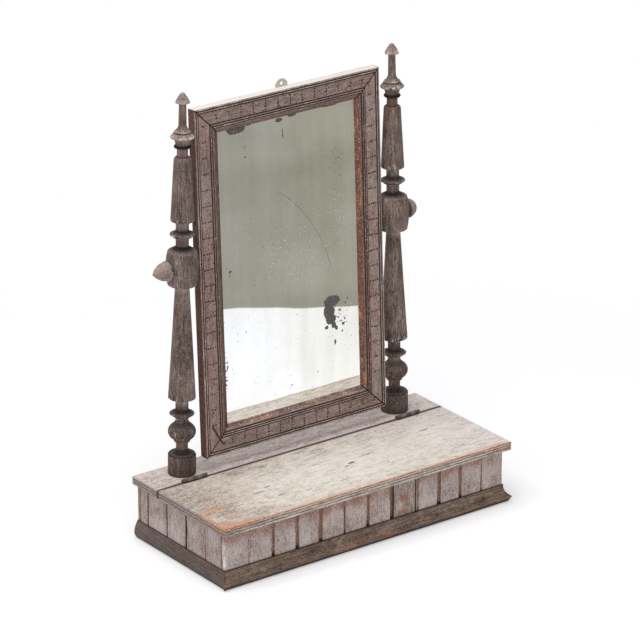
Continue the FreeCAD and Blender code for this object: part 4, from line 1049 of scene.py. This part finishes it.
front_length = wall_high[0] - wall_low[0]
side_length = corners("plinth_left")[1][1] - wall_low[1]
left_corner, right_corner = (wall_low[0], wall_low[1], 0), (wall_high[0], wall_low[1], 0)
plinth("plinth_front_cove", "plinth_front", cove, plinth_wood, left_corner, (1, 0, 0), (0, -1, 0),
       front_length, (1, 1), 0.75, 0.0)
plinth("plinth_left_swell", "plinth_left", swell, smooth_plinth, left_corner, (0, 1, 0), (-1, 0, 0),
       side_length, (1, 0), 0.05, 0.3)
plinth("plinth_right_cove", "plinth_right", cove, plinth_wood, right_corner, (0, 1, 0), (1, 0, 0),
       side_length, (1, 0), 0.6, 0.2)

# %% [markdown]
# ## Turnings
# Columns, finials and thumb screws came off a lathe: a profile swept round an axis. The spin tool would
# do it, but on a grid the surface can be uneven, as an old shrunk turning is, and every point knows how
# proud it stands, so that rims are rubbed pale and hollows are darkened, by soot on the columns and by
# painted shade on the smaller turnings. Lines that were burnt in with a wire stay black.


# %% Turned profiles
LONG_RISE = 40
LONG_STEP = 1.6 * MM
SHORT_STEP = 0.7 * MM
SCORCH_REACH = 0.7 * MM


def rises(start, steps):
    """A turned profile as stations: each step is (rise, diameter, bulge, burnt) in millimetres. Gives the
    sampled radius and height and how burnt each place is."""
    level = start[0]
    points = [(start[1] / 2 * MM, level * MM, 0, MM)]
    burnt = [0.0]
    for rise, diameter, *more in steps:
        level += rise
        bulge, scorched = (*more, 0, 0)[:2]
        burnt.append(scorched)
        points.append((diameter / 2 * MM, level * MM, bulge, LONG_STEP if rise > LONG_RISE else SHORT_STEP))
    line = outline(points)
    scorch = np.zeros(len(line))
    for (_, place, *_), amount in zip(points, burnt):
        scorch = np.maximum(scorch, amount * fade(np.abs(line[:, 1] - place), SCORCH_REACH))
    return line[:, 0], line[:, 1], scorch


def burnt_line(diameter):
    """A small groove burnt into the wood."""
    return [(0.7, diameter - 1.6, 0, 1.0), (0.7, diameter)]


def disc(neck, rim):
    """A disc: a small ring, a burnt groove, a thin rim, and a hollow slope up to the neck."""
    return [(2.4, 0.76 * rim), (0.8, 0.76 * rim, 0.3), (0.6, 0.68 * rim, 0, 0.9), (1.0, 0.97 * rim),
            (1.0, 0.97 * rim, 0.4), (4.2, neck, -0.15)]


print("a burnt line is", sum(rise for rise, *_ in burnt_line(20)), "mm wide")

# %% [markdown]
# The sweep gives a ring of points for each place of the profile. A perfect ring would look new, so each
# turning is slightly oval, and its sharp rims have lost small chips.

# %% Sweeping a profile
ROUND = 88
OVAL = 0.012
WAVER = 0.006
SMOOTHED_OVER = 25


def swept(profile, origin, ways, seed):
    """Sweeps a profile round an axis: at each height a ring of the profile's radius, a little oval and
    uneven, and a point on the axis at both ends. Gives the points, the faces, the number of each point's
    ring, its angle, and how far each ring stands out, in millimetres, from the profile's running mean."""
    radius, height, _ = profile
    axis, across, beyond = ways
    turn = np.linspace(0, 2 * np.pi, ROUND, endpoint=False)
    padded = np.pad(radius, SMOOTHED_OVER // 2, mode="edge")
    proud = (radius - np.convolve(padded, np.ones(SMOOTHED_OVER) / SMOOTHED_OVER, mode="valid")) / MM
    draw = np.random.default_rng(seed)
    uneven = 1 + OVAL * np.cos(2 * (turn[None, :] - draw.uniform(0, 6))) * draw.uniform(0.3, 1)
    uneven = uneven + WAVER * np.sin(3 * turn[None, :] + 40 * height[:, None] + draw.uniform(0, 6))
    ring = (radius[:, None] * np.minimum(uneven, 1 + OVAL))[..., None]
    centre = origin + height[:, None, None] * axis
    points = centre + ring * np.cos(turn)[:, None] * across + ring * np.sin(turn)[:, None] * beyond
    points = points.reshape(-1, 3)
    chipped = unit(ripple(points, 7 * MM, seed + 1) - 0.62) * np.clip(np.repeat(proud, ROUND), 0, 1.5)
    points = points + (np.repeat(centre[:, 0], ROUND, axis=0) - points) * (chipped * 0.22)[:, None]

    count = len(radius)
    index = np.arange(count * ROUND).reshape(count, ROUND)
    wrapped = np.concatenate([index, index[:, :1]], axis=1)
    foot, head = (np.stack([np.full(ROUND, count * ROUND + end), row[:-1], row[1:]], axis=1)
                  for end, row in enumerate((wrapped[0], wrapped[-1])))
    faces = [grid_faces(wrapped), np.concatenate([foot[:, ::-1], head])]
    points = np.concatenate([points, centre[0], centre[-1]])
    around = np.concatenate([np.repeat(np.arange(count), ROUND), [0, count - 1]])
    return points, faces, around, np.concatenate([np.tile(turn, count), [0, 0]]), proud


print("a turning has", ROUND, "points in each ring")

# %% [markdown]
# What shows on a turning follows its shape. Soot lies on ledges, rims are rubbed, and what an overhang
# shelters keeps its pale colour. Where there is little soot, painted shade darkens hollows and undersides
# and painted light brightens what faces up, and painted shade darkens the lowest part of each column. All
# this is worked out from the profile, so that no place has to be marked one by one.

# %% Turnings
turned_wood = old_wood(
    "turned", [(0.40, 76, 63, 57), (0.47, 114, 98, 91), (0.53, 138, 121, 114), (0.61, 170, 154, 147)],
    rubbed=((132, 114, 106), (184, 170, 163)), stain=(110, 80, 66), dirt_and_shade=(34, 27, 24), pale=(226, 219, 214),
    along=30, across=700, flecks=0.35)
STEEP = 1.5
OVERHANG = 4 * MM


def turning(name, node, profile, body, origin, axis, across, lift, brown=0.0, pale=0.0, low_shade=(0, 85),
            soot=0.0):
    """A piece from the lathe. lift and pale are how light and how chalky it is, brown how brown it is
    towards the top, low_shade how much painted shade darkens its lowest part and up to what height. soot is
    how much lies on the ledges, where what is just below is wider. What is just under an overhang stays
    pale. Where there is less soot, hollows and undersides get painted shade, and what faces up gets painted
    light."""
    seed = seed_of(name)
    axis, across = np.array(axis), np.array(across)
    ways = (axis, across, np.cross(axis, across))
    points, faces, around, angle, proud = swept(profile, origin, ways, seed)
    radius, height, scorch = profile
    climb = np.maximum.accumulate(height) + np.arange(len(height)) * 1e-7
    slope = np.gradient(radius, climb)[around]
    steps = np.array((1.5, 3, 4.5, 6, 8))[:, None] * MM
    near = (1 - steps / (10 * MM)) / OVERHANG
    shelter, ledge = (
        unit(((np.interp(climb + way * steps, climb, radius) - radius) * near).max(axis=0))[around]
        for way in (1, -1))
    up_facing = np.clip(-slope, 0, STEEP) / STEEP
    down_facing = np.clip(slope, 0, STEEP) / STEEP
    rub = unit(proud[around] / 1.4)
    hollow = unit(-proud[around] / 2.0)
    height = height[around]
    # The foot is darker towards its bottom, and painted shade darkens the lowest part up to the given height.
    at_foot = unit(1 - (height - height[0]) / (16 * MM))
    low_part = unit((low_shade[1] * MM - height) / (12 * MM))
    clean = 1 - soot
    # Painted shade in the hollows and on the undersides of a turning with little soot, but not under an
    # overhang.
    hollow_and_underside_shade = clean * (1 - shelter) * (0.75 * hollow + 0.65 * down_facing)
    lying_soot = np.clip(0.18 * up_facing + 0.37 * ledge * (1 + hollow) - 0.6 * shelter, 0, 0.75)
    local = (points - origin) @ np.stack(ways, axis=1)
    make_piece(
        name, points, faces, turned_wood, body, "turned_wood", node, 38,
        grain=grain_place(*local.T, seed),
        wear=0.35 * rub + 0.3 * clean * up_facing * (ripple(points, 30 * MM, seed + 2) > -0.3),
        grime=np.maximum.reduce([scorch[around], hollow_and_underside_shade, soot * (1 - 0.6 * rub) * lying_soot,
                                 0.35 * at_foot]),
        chalk=pale * (0.1 + 0.2 * rub + 0.35 * clean * up_facing) + soot * (0.3 * shelter + 0.3 * rub),
        stain=brown * (height - height[0]) / np.ptp(height) + 0.5 * ripple(points, 26 * MM, seed + 3)
        + 0.1 * np.sin(angle),
        # Painted light makes what faces up lighter here, and chalkier in the chalk above, on a turning with
        # little soot.
        tone=lift + 0.45 * ripple(points, 40 * MM, seed + 4) + 0.5 * clean * up_facing
        + (0.3 + 0.8 * soot) * shelter + pale * rub - 0.4 * at_foot - low_shade[0] * low_part)


# %% [markdown]
# Each column is one turning from its foot to the black ring, and the finial is dowelled on top of it.
# Both lean in by one degree, as the frame gives them. The profiles are written from the foot up, as rises
# and diameters in millimetres, the way a turner would mark them on a stick.

# %% Columns and finials
NECK = 14.6
RIM = 28.6
RING_TOP = 386.5
FOOT = 31.6
LEAN = math.radians(1.0)
column_profile = rises((0, FOOT), [
    (22.6, FOOT), (0.5, 30.8, 0.3), (0.5, 29.4, 0, 1.0), (0.5, 29.8), (1.4, 18, -0.1), (5, 13.4, -0.25),
    (8, 13.4), (0.05, 17.6), (2.45, 17.6, 0.4, 0.6), (9, 31.5, 0.28), (7.9, 24.7, 0.22), (5.6, NECK, -0.12),
    (3.5, NECK), *disc(NECK, RIM), (12.9, NECK), (1.4, 31, 0.2), (132.7, 16), (1.4, 31.2, 0.1),
    (0.85, 32.6, 0.25), (19.25, 36.4, 0.05), (18.5, 32.6, 0.08), (1.2, 31.2, 0.3), (4.8, NECK), (9, NECK),
    *disc(NECK, RIM), (10.1, NECK), (1.4, 26.5, 0.2), (70.5, 19.4), (3.5, 12.4, 0.3), (10.3, 12.4, 0, 0.7),
    (0.1, 18.8, 0, 1.2), (0.8, 19.2, 0, 1.2), (0.8, 18.8, 0, 1.2)])
finial_profile = rises((RING_TOP, 15.5), [
    (0.8, 15.8, 0, 1.2), (7.7, 19.4, -0.1), (1.0, 26.6), (1.3, 26.6, 0.4), (4.2, 19.4), *burnt_line(19.4),
    (10, 9, -0.3), (22.1, 8.1), (1.0, 16.6, 0.1), (9.2, 6, 0.06), (2.0, 0.8, 0.3)])
strip_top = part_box("top_strip")[1].z
for hand, side in HANDS:
    column_box = corners(f"{hand}_column")
    pivot = sum(corners(f"{hand}_pivot_screw")) / 2
    outer_edge = column_box[0][0] if side < 0 else column_box[1][0]
    origin = np.array((outer_edge - side * FOOT / 2 * MM, pivot[1], strip_top))
    axis = (-side * math.sin(LEAN), 0, math.cos(LEAN))
    across = (math.cos(LEAN), 0, side * math.sin(LEAN))
    # The lowest part of each column gets painted shade, reaching higher on the right column.
    turning(f"{hand}_column_turning", f"{hand}_column", column_profile, "base", origin, axis, across,
            lift=-0.3, brown=0.4 + 0.1 * side, low_shade=(0.65, 97 + 12 * side), soot=1.0)
    turning(f"{hand}_finial_turning", f"{hand}_finial", finial_profile, "base", origin, axis, across,
            lift=-0.1, pale=0.75, soot=0.2)
    print(hand, "column stands at", (origin / MM).round(2))

# %% [markdown]
# The thumb screws are turned too, round a level axis: a shank through the column and a knob outside it.
# The left knob is pointed and the right one is domed. They turn by themselves, so each rides on a body of
# its own.

# %% Thumb screws
SHANK = 8.0
KNOB = 22.4
brim = [(50.1, SHANK), (0.05, 0.92 * KNOB), (1.0, KNOB, 0.2), (2.5, KNOB, 0.2), (0.65, 0.93 * KNOB)]
pointed = rises((0, SHANK), brim + [(8.1, 0.7 * KNOB, 0.16), (7.0, 0.18 * KNOB, 0.08), (1.2, 0.6, 0.25)])
domed = rises((0, SHANK), brim + [(8.2, 0.6, 0.38)])
for (hand, side), screw_profile in zip(HANDS, (pointed, domed)):
    low, high = corners(f"{hand}_pivot_screw")
    origin = (low + high) / 2
    origin[0] = high[0] if side < 0 else low[0]
    turning(f"{hand}_thumb_screw", f"{hand}_pivot_screw", screw_profile, f"{hand}_knob", origin, (side, 0, 0),
            (0, 0, 1), lift=0.4)

# %% [markdown]
# ## Mirror frame
# Four lengths of one moulding: two beads, a flat band, two more beads and a hollow down to the sight
# edge. Rows of four dots were punched across the band, and beetles have added holes of their own. Both
# are pits in the mesh, which needs a place every half millimetre there. The mitres have opened with age.

# %% Frame moulding
THICK = 12 * MM
FLAT = THICK / 2 - MM
BEAD = 2.6 * MM
ARC = -0.55
ARC_STEP = 0.42 * MM
WIDTH = 32 * MM
INNER = 20.3 * MM
SIGHT = 1.8 * MM
GLASS_FRONT = 0.3 * MM
REBATE = 26 * MM
FINE = 0.5 * MM
HOLLOW_START = INNER + 2 * BEAD
moulding = outline([
    (0, -THICK / 2, 0, MM), (0, FLAT, 0, 1.4 * MM), (BEAD, FLAT, ARC, ARC_STEP),
    (2 * BEAD, FLAT, ARC, ARC_STEP), (INNER, FLAT, 0, FINE), (INNER + BEAD, FLAT, ARC, ARC_STEP),
    (HOLLOW_START, FLAT, ARC, ARC_STEP), (WIDTH, SIGHT, 0.12, 0.7 * MM), (WIDTH, GLASS_FRONT, 0, MM),
    (REBATE, GLASS_FRONT, 0, 2 * MM), (REBATE, -THICK / 2, 0, 2 * MM), (0.05 * MM, -THICK / 2, 0, 5 * MM)])
TILT = math.radians(2.5)
pivot[0] = 0
face_way = np.array((0, -math.cos(TILT), math.sin(TILT)))
rise_way = np.array((0, math.sin(TILT), math.cos(TILT)))
side_way = np.array((1.0, 0, 0))
frame_wood = old_wood(
    "frame", [(0.40, 104, 82, 74), (0.47, 137, 114, 106), (0.53, 157, 135, 127), (0.61, 184, 165, 157)],
    rubbed=((166, 96, 62), (218, 156, 120)), stain=(110, 62, 44), dirt_and_shade=(34, 24, 20), pale=(226, 218, 212),
    pores=0.68)
print("frame profile has", len(moulding), "places; pivot at", (pivot / MM).round(2))

# %% [markdown]
# Each hole could be cut with a boolean, but there are hundreds. A soft pit for each, added to the grid in
# one small patch, does the same much faster.

# %% Punched dots and beetle holes
DOT_RADIUS = 0.98 * MM
DOT_PLACES = np.array((0.17, 0.39, 0.61, 0.83))
DOT_SCATTER = 0.2 * MM
PIT_REACH = 3 * MM


def pits(along, out, front, length, row_pitch, row_start, worm_count, seed):
    """How deep each point lies in a hole, from 0 to 1: e to the power of minus the fourth power of its
    distance from the hole's middle, in radii. Dots stand in rows, and worm holes are drawn at random."""
    draw = np.random.default_rng(seed)
    rows = np.arange(row_start, length - 12 * MM, row_pitch)
    dot_out = 2 * BEAD + (INNER - 2 * BEAD) * DOT_PLACES
    dots = np.stack(np.broadcast_arrays(rows[:, None], dot_out[None, :]), axis=-1).reshape(-1, 2)
    dots = dots + draw.normal(0, DOT_SCATTER, dots.shape)
    worm_along = draw.uniform(10 * MM, length - 10 * MM, worm_count)
    worm_out = draw.uniform(MM, INNER + 4 * MM, worm_count)
    dot_sizes = DOT_RADIUS * draw.uniform(0.8, 1.15, len(dots))
    worm_sizes = draw.uniform(0.4, 0.75, worm_count) * MM
    holes = np.concatenate([dots, np.stack([worm_along, worm_out], axis=1)])
    pit = np.zeros(out.shape)
    columns = np.where(front.any(axis=0))[0]
    middle = along[:, columns[len(columns) // 2]]
    for (place, across), radius in zip(holes, np.concatenate([dot_sizes, worm_sizes])):
        patch = np.ix_(np.where(np.abs(middle - place) < PIT_REACH)[0], columns)
        distance = np.hypot(along[patch] - place, out[patch] - across) / radius
        pit[patch] = np.maximum(pit[patch], np.exp(-distance ** 4))
    return pit * front


print("dots across the band in mm:", ((2 * BEAD + (INNER - 2 * BEAD) * DOT_PLACES) / MM).round(1))

# %% [markdown]
# One function carries the moulding along a side of the frame, presses in the pits, and wears the beads.
# It paints highlights on the crests of the beads, paints shade, with some dirt, into the lines between
# them, and paints the slope to the glass lighter at the top and darker towards the glass.

# %% Lengths of the frame
DOT_DEPTH = 1.1 * MM
OPEN_MITRE = 0.35 * MM
HAIR = 0.01 * MM
GROOVE_LINES = (BEAD, 2 * BEAD, INNER, INNER + BEAD, HOLLOW_START)


def frame_member(name, node, start, way, inward, length, rows, worm_count, hollow, outer_top_light=0.0, light=0.0):
    """A length of the frame's moulding along way, mitred at both ends. inward points to the glass. rows
    are the pitch and the start of the dots. hollow says how dark, how brown and how rubbed the slope to
    the glass is, outer_top_light how much painted light the outer side gets in place of its dark stain,
    and light how light the whole."""
    seed = seed_of(name)
    share = stations(0, 1, FINE / length)
    across = moulding[:, 0]
    out = np.broadcast_to(across, (len(share), len(moulding)))
    up = np.broadcast_to(moulding[:, 1], out.shape)
    first, last = out + OPEN_MITRE, length - out - OPEN_MITRE
    along = first + (last - first) * share[:, None]
    front = up > FLAT - HAIR
    band = (out > 2 * BEAD + 0.2 * MM) & (out < INNER - 0.2 * MM) & front
    beads = front & ~band
    sides = out < HAIR
    pit = pits(along, out, front, length, *rows, worm_count, seed)

    points = carry(along, out, up, start, way, inward, face_way)
    wave, nick, rough = (
        ripple(points, wavelength * MM, seed + step).reshape(out.shape)
        for step, wavelength in ((1, 70), (2, 9), (3, 25)))
    nick = unit(nick - 0.5)
    up = up - DOT_DEPTH * pit - beads * (0.5 * MM * nick + 0.12 * MM * unit(wave)) - band * 0.15 * MM * nick
    out = out + sides * 0.12 * MM * (1 + rough)
    points = carry(along, out, up, start, way, inward, face_way)

    facing = up > 0
    # Painted shade, with some dirt, in the lines between the beads.
    lines = np.max([bell(np.abs(across - place), 0.75 * MM) for place in GROOVE_LINES], axis=0) * facing
    mitre = fade(np.minimum(along - first, last - along), 0.7 * MM) * (up > -THICK / 4)
    # The crests of the beads get a painted highlight through tone and chalk.
    crest = unit((up - FLAT - 0.3 * MM) / (0.4 * MM))
    inner_crest = crest * (out > INNER)
    sight = unit((across - HOLLOW_START) / (2 * MM)) * facing
    fall = unit((across - HOLLOW_START) / (WIDTH - HOLLOW_START))
    # Painted light and shade on the slope to the glass: lighter at its top, darker towards the glass.
    deep = sight * (fall > 0)
    behind = np.where(up < -THICK / 2 + 0.2 * MM, 0.35, 0)
    dark, brown, rubbed = hollow
    # On the top rail the outer side, which faces up, gets painted light in place of its dark stain and dirt.
    fields = {
        "wear": 0.1 * crest + rubbed * np.maximum(inner_crest, sight) * (0.8 + 0.4 * wave),
        "grime": np.maximum.reduce([1.3 * pit, 0.95 * lines, mitre, behind, dark * sight,
                                    0.3 * sides * (1 - outer_top_light)]),
        "stain": np.maximum.reduce([sides * (1 - outer_top_light), brown * np.maximum(sight, inner_crest),
                                    0.3 * wave]),
        "chalk": 0.42 * crest * (1 + nick) + outer_top_light * sides + 0.8 * rubbed * sight * (1 - brown),
        "tone": light + 0.45 * wave + 0.2 * band + 0.55 * crest + deep * (0.5 - 1.1 * fall)}
    make_piece(
        name, points, ring_faces(*out.shape), frame_wood, "mirror", "frame_wood", node, 55,
        grain=grain_place(along.ravel(), out.ravel(), up.ravel(), seed),
        **{key: values.ravel() for key, values in fields.items()})


print("lines between the beads in mm:", (np.array(GROOVE_LINES) / MM).round(1))

# %% [markdown]
# The rails and stiles meet in mitres. Their dots are spaced differently, and each has its own wear: the
# slope to the glass is rubbed at the foot and on the right, and dark on the left. The top rail's outer
# side faces up, and it gets painted light in place of its dark stain.

# %% Rails and stiles
HALF_FRAME = np.ptp([corner[0] for corner in corners("frame_top_rail")]) / 2
ABOVE = 176.5 * MM
BELOW = 230.5 * MM
RAIL_ROWS = 16.6 * MM
STILE_ROWS = 18.4 * MM
full_width, full_height = 2 * HALF_FRAME, ABOVE + BELOW
foot_left = pivot - HALF_FRAME * side_way - BELOW * rise_way
head_left = pivot - HALF_FRAME * side_way + ABOVE * rise_way
foot_right = pivot + HALF_FRAME * side_way - BELOW * rise_way
frame_member("bottom_rail_moulding", "frame_bottom_rail", foot_left, side_way, rise_way, full_width,
             (RAIL_ROWS, 36.5 * MM), 45, (0.0, 0.2, 0.45))
frame_member("top_rail_moulding", "frame_top_rail", head_left, side_way, -rise_way, full_width,
             (RAIL_ROWS, 30 * MM), 60, (0.1, 0.5, 0.1), outer_top_light=1.0, light=-0.15)
frame_member("left_stile_moulding", "frame_left_stile", foot_left, rise_way, side_way, full_height,
             (STILE_ROWS, 37 * MM), 150, (0.35, 0.7, 0.0))
frame_member("right_stile_moulding", "frame_right_stile", foot_right, rise_way, -side_way, full_height,
             (STILE_ROWS, 46 * MM), 80, (0.0, 1.0, 0.45), light=0.2)

# %% [markdown]
# ## Glass
# The glass is an old sheet with a metal coat behind it. Seen from the front it is a slightly wavy mirror,
# so it is made as one: a metal surface, whose small waves bend the reflection. Where the coat has come
# off it is dark and dull. The lost places are ovals on the sheet, stored as a soft height for each point,
# and the finish cuts them off at a level with noise, which gives ragged edges at any distance.


# %% Silvered finish
def even_cloud(tree, place, per_metre, detail, rough, shift=0.0):
    """A cloud that is as fine every way."""
    return cloud(tree, place, (per_metre,) * 3, detail, rough, shift)


def silvered(name):
    """Mirror with lost silver, by the field loss, a fine scratch, by its distance, and dark and pale
    specks, which the fields pepper and dust make more frequent."""
    finish, tree, shader = new_finish(name)
    place = field(tree, "grain", "Vector")
    ragged = even_cloud(tree, place, 260, 4.0, 0.65)
    haze = even_cloud(tree, place, 16, 3.0, 0.6, 5.1)
    lost = spread(tree, work(tree, "ADD", field(tree, "loss"), swing(tree, ragged, 0.9)), 0.44, 0.54)
    dark_specks = even_cloud(tree, place, 330, 2.0, 0.5, 8.2)
    pale_specks = even_cloud(tree, place, 420, 2.0, 0.5, 4.6)
    peppered = weighted(tree, (dark_specks, 1), (field(tree, "pepper"), 0.1))
    dusty = weighted(tree, (pale_specks, 1), (field(tree, "dust"), 0.1))
    pinholes = spread(tree, peppered, 0.70, 0.73, 0.0, 0.85)
    dust = spread(tree, dusty, 0.70, 0.73, 0.0, 0.6)
    line = spread(tree, work(tree, "ABSOLUTE", field(tree, "scratch")), 0.25, 0.6, 0.8, 0.0)
    dull = work(tree, "MAXIMUM", work(tree, "MAXIMUM", lost, pinholes), line)
    runs = cloud(tree, place, (60, 60, 5), 3.0, 0.6, 6.4)
    clear = weighted(tree, (haze, 0.5), (runs, 0.5))
    warm = chips(tree, clear, [(0.38, (0.84, 0.83, 0.77, 1)), (0.62, (0.95, 0.95, 0.91, 1))])
    cool = chips(tree, clear, [(0.38, (0.88, 0.88, 0.88, 1)), (0.62, (0.97, 0.98, 1.0, 1))])
    silver = blend(tree, spread(tree, work(tree, "ADD", haze, field(tree, "cool")), 0.3, 0.9), warm, cool)
    grainy = even_cloud(tree, place, 900, 2.0, 0.5, 3.3)
    board = chips(tree, grainy, [(0.35, paint(58, 56, 56)), (0.65, paint(120, 113, 112))])
    colour = blend(tree, dust, blend(tree, dull, silver, board), paint(232, 232, 226))
    tree.links.new(colour, shader.inputs["Base Color"])
    coat = work(tree, "SUBTRACT", 1.0, work(tree, "MAXIMUM", dull, dust))
    feed(tree, shader.inputs["Metallic"], coat)
    feed(tree, shader.inputs["Roughness"], spread(tree, coat, 0.0, 1.0, 0.45, 0.02))
    return finish


silver_glass = silvered("silvered_glass")
print("finish", silver_glass.name)

# %% [markdown]
# The silver is lost in a large patch at the lower right, along the top and in small spots, and a faint
# scratch runs in a long arc. Lost places are ovals, and the scratch is a distance from its arc.

# %% Marks on the glass
lost_places = spots(
    (56, -87, 13, 8, 1.0), (52, -98, 8.5, 11, 1.0), (54, -108, 8, 7, 1.0), (58, -116, 4, 4.5, 0.9),
    (67, -100, 2.4, 1.4, 0.9), (75, -93, 2.2, 1.6, 0.9), (71, -117, 2.4, 2.8, 0.8),
    (61.5, -120, 2.6, 3.4, 0.9), (48, -117, 3.5, 2.6, 0.85), (70, -126, 1.6, 1.8, 0.8),
    (59.5, -137, 1.4, 4.5, 0.95), (78, -88, 1.5, 1.5, 0.8),
    (-68, 141.5, 15, 5, 1.0), (-50, 145, 6, 2, 0.9), (-10, 141, 6, 3, 0.9), (8, 143, 8, 2, 0.8),
    (60, 144, 14, 1.8, 0.8), (-5, 124, 1.0, 8, 0.8), (-82, -20, 3.0, 1.8, 0.8), (-83, -24, 0.9, 4, 0.7),
    (34, -167, 1.4, 1.4, 0.8), (-3, -174, 1.5, 1.3, 0.8))
peppered_places = spots(
    (-57, 113, 2.5, 20, 1.6), (68, 70, 14, 55, 0.9), (70, -108, 11, 16, 1.3), (-92, -135, 3.5, 26, 1.9),
    (0, 20, 90, 90, 0.3), (-65, -85, 12, 30, 0.5))
dusty_places = spots((10, -20, 70, 45, 0.7), (66, 10, 14, 45, 1.0), (0, 60, 90, 90, 0.2))
SCRATCH_CENTRE = np.array((-121.7, -88.8)) * MM
SCRATCH_RADIUS = 183 * MM
SCRATCH_MIDDLE = 33.5
SCRATCH_HALF = 20
NO_SCRATCH = 9


def scratch_distance(across, rise):
    """How far, in millimetres, a point is outside the arc of the scratch. Past its two ends it is far."""
    from_centre = np.stack([across, rise], axis=1) - SCRATCH_CENTRE
    bearing = np.degrees(np.arctan2(from_centre[:, 1], from_centre[:, 0]))
    beside_arc = (np.linalg.norm(from_centre, axis=1) - SCRATCH_RADIUS) / MM
    return np.where(np.abs(bearing - SCRATCH_MIDDLE) < SCRATCH_HALF, beside_arc, NO_SCRATCH)


print("places with lost silver:", len(lost_places))

# %% [markdown]
# The sheet is a thin block with a fine grid. A plain flat face would mirror too well, and two slow waves
# on its front are enough to bend the reflection as old glass does.

# %% Glass sheet
MARGIN = 26.8 * MM
GLASS_THICK = 2 * MM
GLASS_STEP = 1.5 * MM
half_glass = HALF_FRAME - MARGIN
glass_foot, glass_head = -BELOW + MARGIN, ABOVE - MARGIN
glass_back = GLASS_FRONT - GLASS_THICK
glass_grid, glass_faces = block_grid(
    stations(-half_glass, half_glass, GLASS_STEP), np.linspace(glass_back, GLASS_FRONT, 3),
    stations(glass_foot, glass_head, GLASS_STEP))


def in_frame(local):
    """Places across, out of and up the frame, from its pivot, as points."""
    return pivot + local @ np.stack([side_way, face_way, rise_way])


sheet_place = glass_grid * np.array((1, 0, 1))
waves = 0.020 * MM * ripple(sheet_place, 60 * MM, 17) + 0.05 * MM * ripple(sheet_place, 210 * MM, 23)
glass_grid[:, 1] += np.where(glass_grid[:, 1] > GLASS_FRONT - 0.1 * MM, waves, 0)
across, _, rise = glass_grid.T
make_piece(
    "glass_sheet", in_frame(glass_grid), [glass_faces], silver_glass, "mirror", "silvered_glass",
    "mirror_glass", 40, grain=glass_grid,
    loss=bumps(across, rise, lost_places), scratch=scratch_distance(across, rise),
    pepper=bumps(across, rise, peppered_places), dust=bumps(across, rise, dusty_places),
    cool=-0.45 * across / half_glass)

# %% [markdown]
# Behind the glass lies a thin sawn board that nobody was meant to see. A plain block would do, but the
# saw has left shallow slanting waves on its back, and dust has gathered round its edge.

# %% Backboard
BACK_THICK = 2.5 * MM
SAW_PITCH = 9 * MM
SAW_SLANT = 0.08
SAW_DEPTH = 0.12 * MM
back_low = np.array((-half_glass, glass_back - BACK_THICK, glass_foot))
back_high = np.array((half_glass, glass_back, glass_head))
back_steps = np.array((2.5, 1, 4)) * MM
flat, back_faces = block_grid(*(stations(*side) for side in zip(back_low, back_high, back_steps)))
local = soften(flat, back_low, back_high, np.full(len(flat), 0.4 * MM))
saw_turn = 2 * np.pi * (local[:, 2] + SAW_SLANT * local[:, 0]) / SAW_PITCH
local[:, 1] += SAW_DEPTH * np.clip(np.sin(saw_turn), 0, None) * (flat[:, 1] < back_low[1] + 0.1 * MM)
make_piece(
    "back_panel", in_frame(local), [back_faces], bare_wood, "mirror", "bare_wood", "backboard", 50,
    grain=grain_place(local[:, 2], local[:, 0], local[:, 1], 5),
    grime=0.5 * fade(edge_distance(flat, back_low, back_high), 6 * MM),
    stain=0.3 * ripple(flat, 60 * MM, 31), tone=0.5 * ripple(flat, 80 * MM, 32))

# %% [markdown]
# ## Iron
# Hinges, nails, the bent wire and the hanging tab keep their shapes from the frame. Old iron is dark and
# dull with rust in patches, and the tab is paler, like zinc. Their finishes read the place on the object.


# %% Iron finishes
def old_iron(name, dark, light, rust, rust_share, metallic, rough):
    """Dull metal: two tones by fine clouds, with rust where larger clouds are high."""
    finish, tree, shader = new_finish(name)
    place = object_place(tree)
    fine = even_cloud(tree, place, 900, 3.0, 0.6)
    patch = even_cloud(tree, place, 190, 4.0, 0.6, 2.0)
    colour = chips(tree, fine, [(0.35, paint(*dark)), (0.65, paint(*light))])
    rusty = spread(tree, patch, rust_share - 0.06, rust_share + 0.06)
    tree.links.new(blend(tree, rusty, colour, paint(*rust)), shader.inputs["Base Color"])
    shader.inputs["Metallic"].default_value = metallic
    feed(tree, shader.inputs["Roughness"], spread(tree, fine, 0.3, 0.7, rough - 0.1, rough + 0.15))
    relief(tree, shader, fine, 0.4, 0.15 * MM)
    return finish


dark_iron = old_iron("dark_iron", (52, 47, 45), (104, 95, 90), (96, 64, 46), 0.55, 0.55, 0.55)
strip_leaf_iron = old_iron("hinge_iron", (50, 42, 39), (124, 112, 106), (106, 78, 64), 0.56, 0.25, 0.6)
lid_leaf_iron = old_iron("lid_leaf_iron", (80, 69, 65), (162, 150, 143), (116, 90, 76), 0.6, 0.25, 0.6)
wire_iron = old_iron("wire_iron", (26, 23, 22), (52, 46, 43), (62, 44, 36), 0.62, 0.4, 0.5)
pale_tab = old_iron("pale_tab", (178, 174, 168), (222, 219, 213), (168, 146, 126), 0.64, 0.3, 0.5)
own_iron = {
    "strip_leaf": strip_leaf_iron, "lid_leaf": lid_leaf_iron, "mitre_wire": wire_iron,
    "hanging_tab": pale_tab}
iron_words = ("hinge", "nails", "sprigs", "pins", "wire", "tab")
iron_nodes = [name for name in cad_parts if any(word in name for word in iron_words)]
for name in iron_nodes:
    fitting = [finish for word, finish in own_iron.items() if word in name]
    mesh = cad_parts[name].data
    mesh.materials.clear()
    mesh.materials.append(fitting[0] if fitting else dark_iron)
print("iron pieces:", ", ".join(sorted(iron_nodes)))
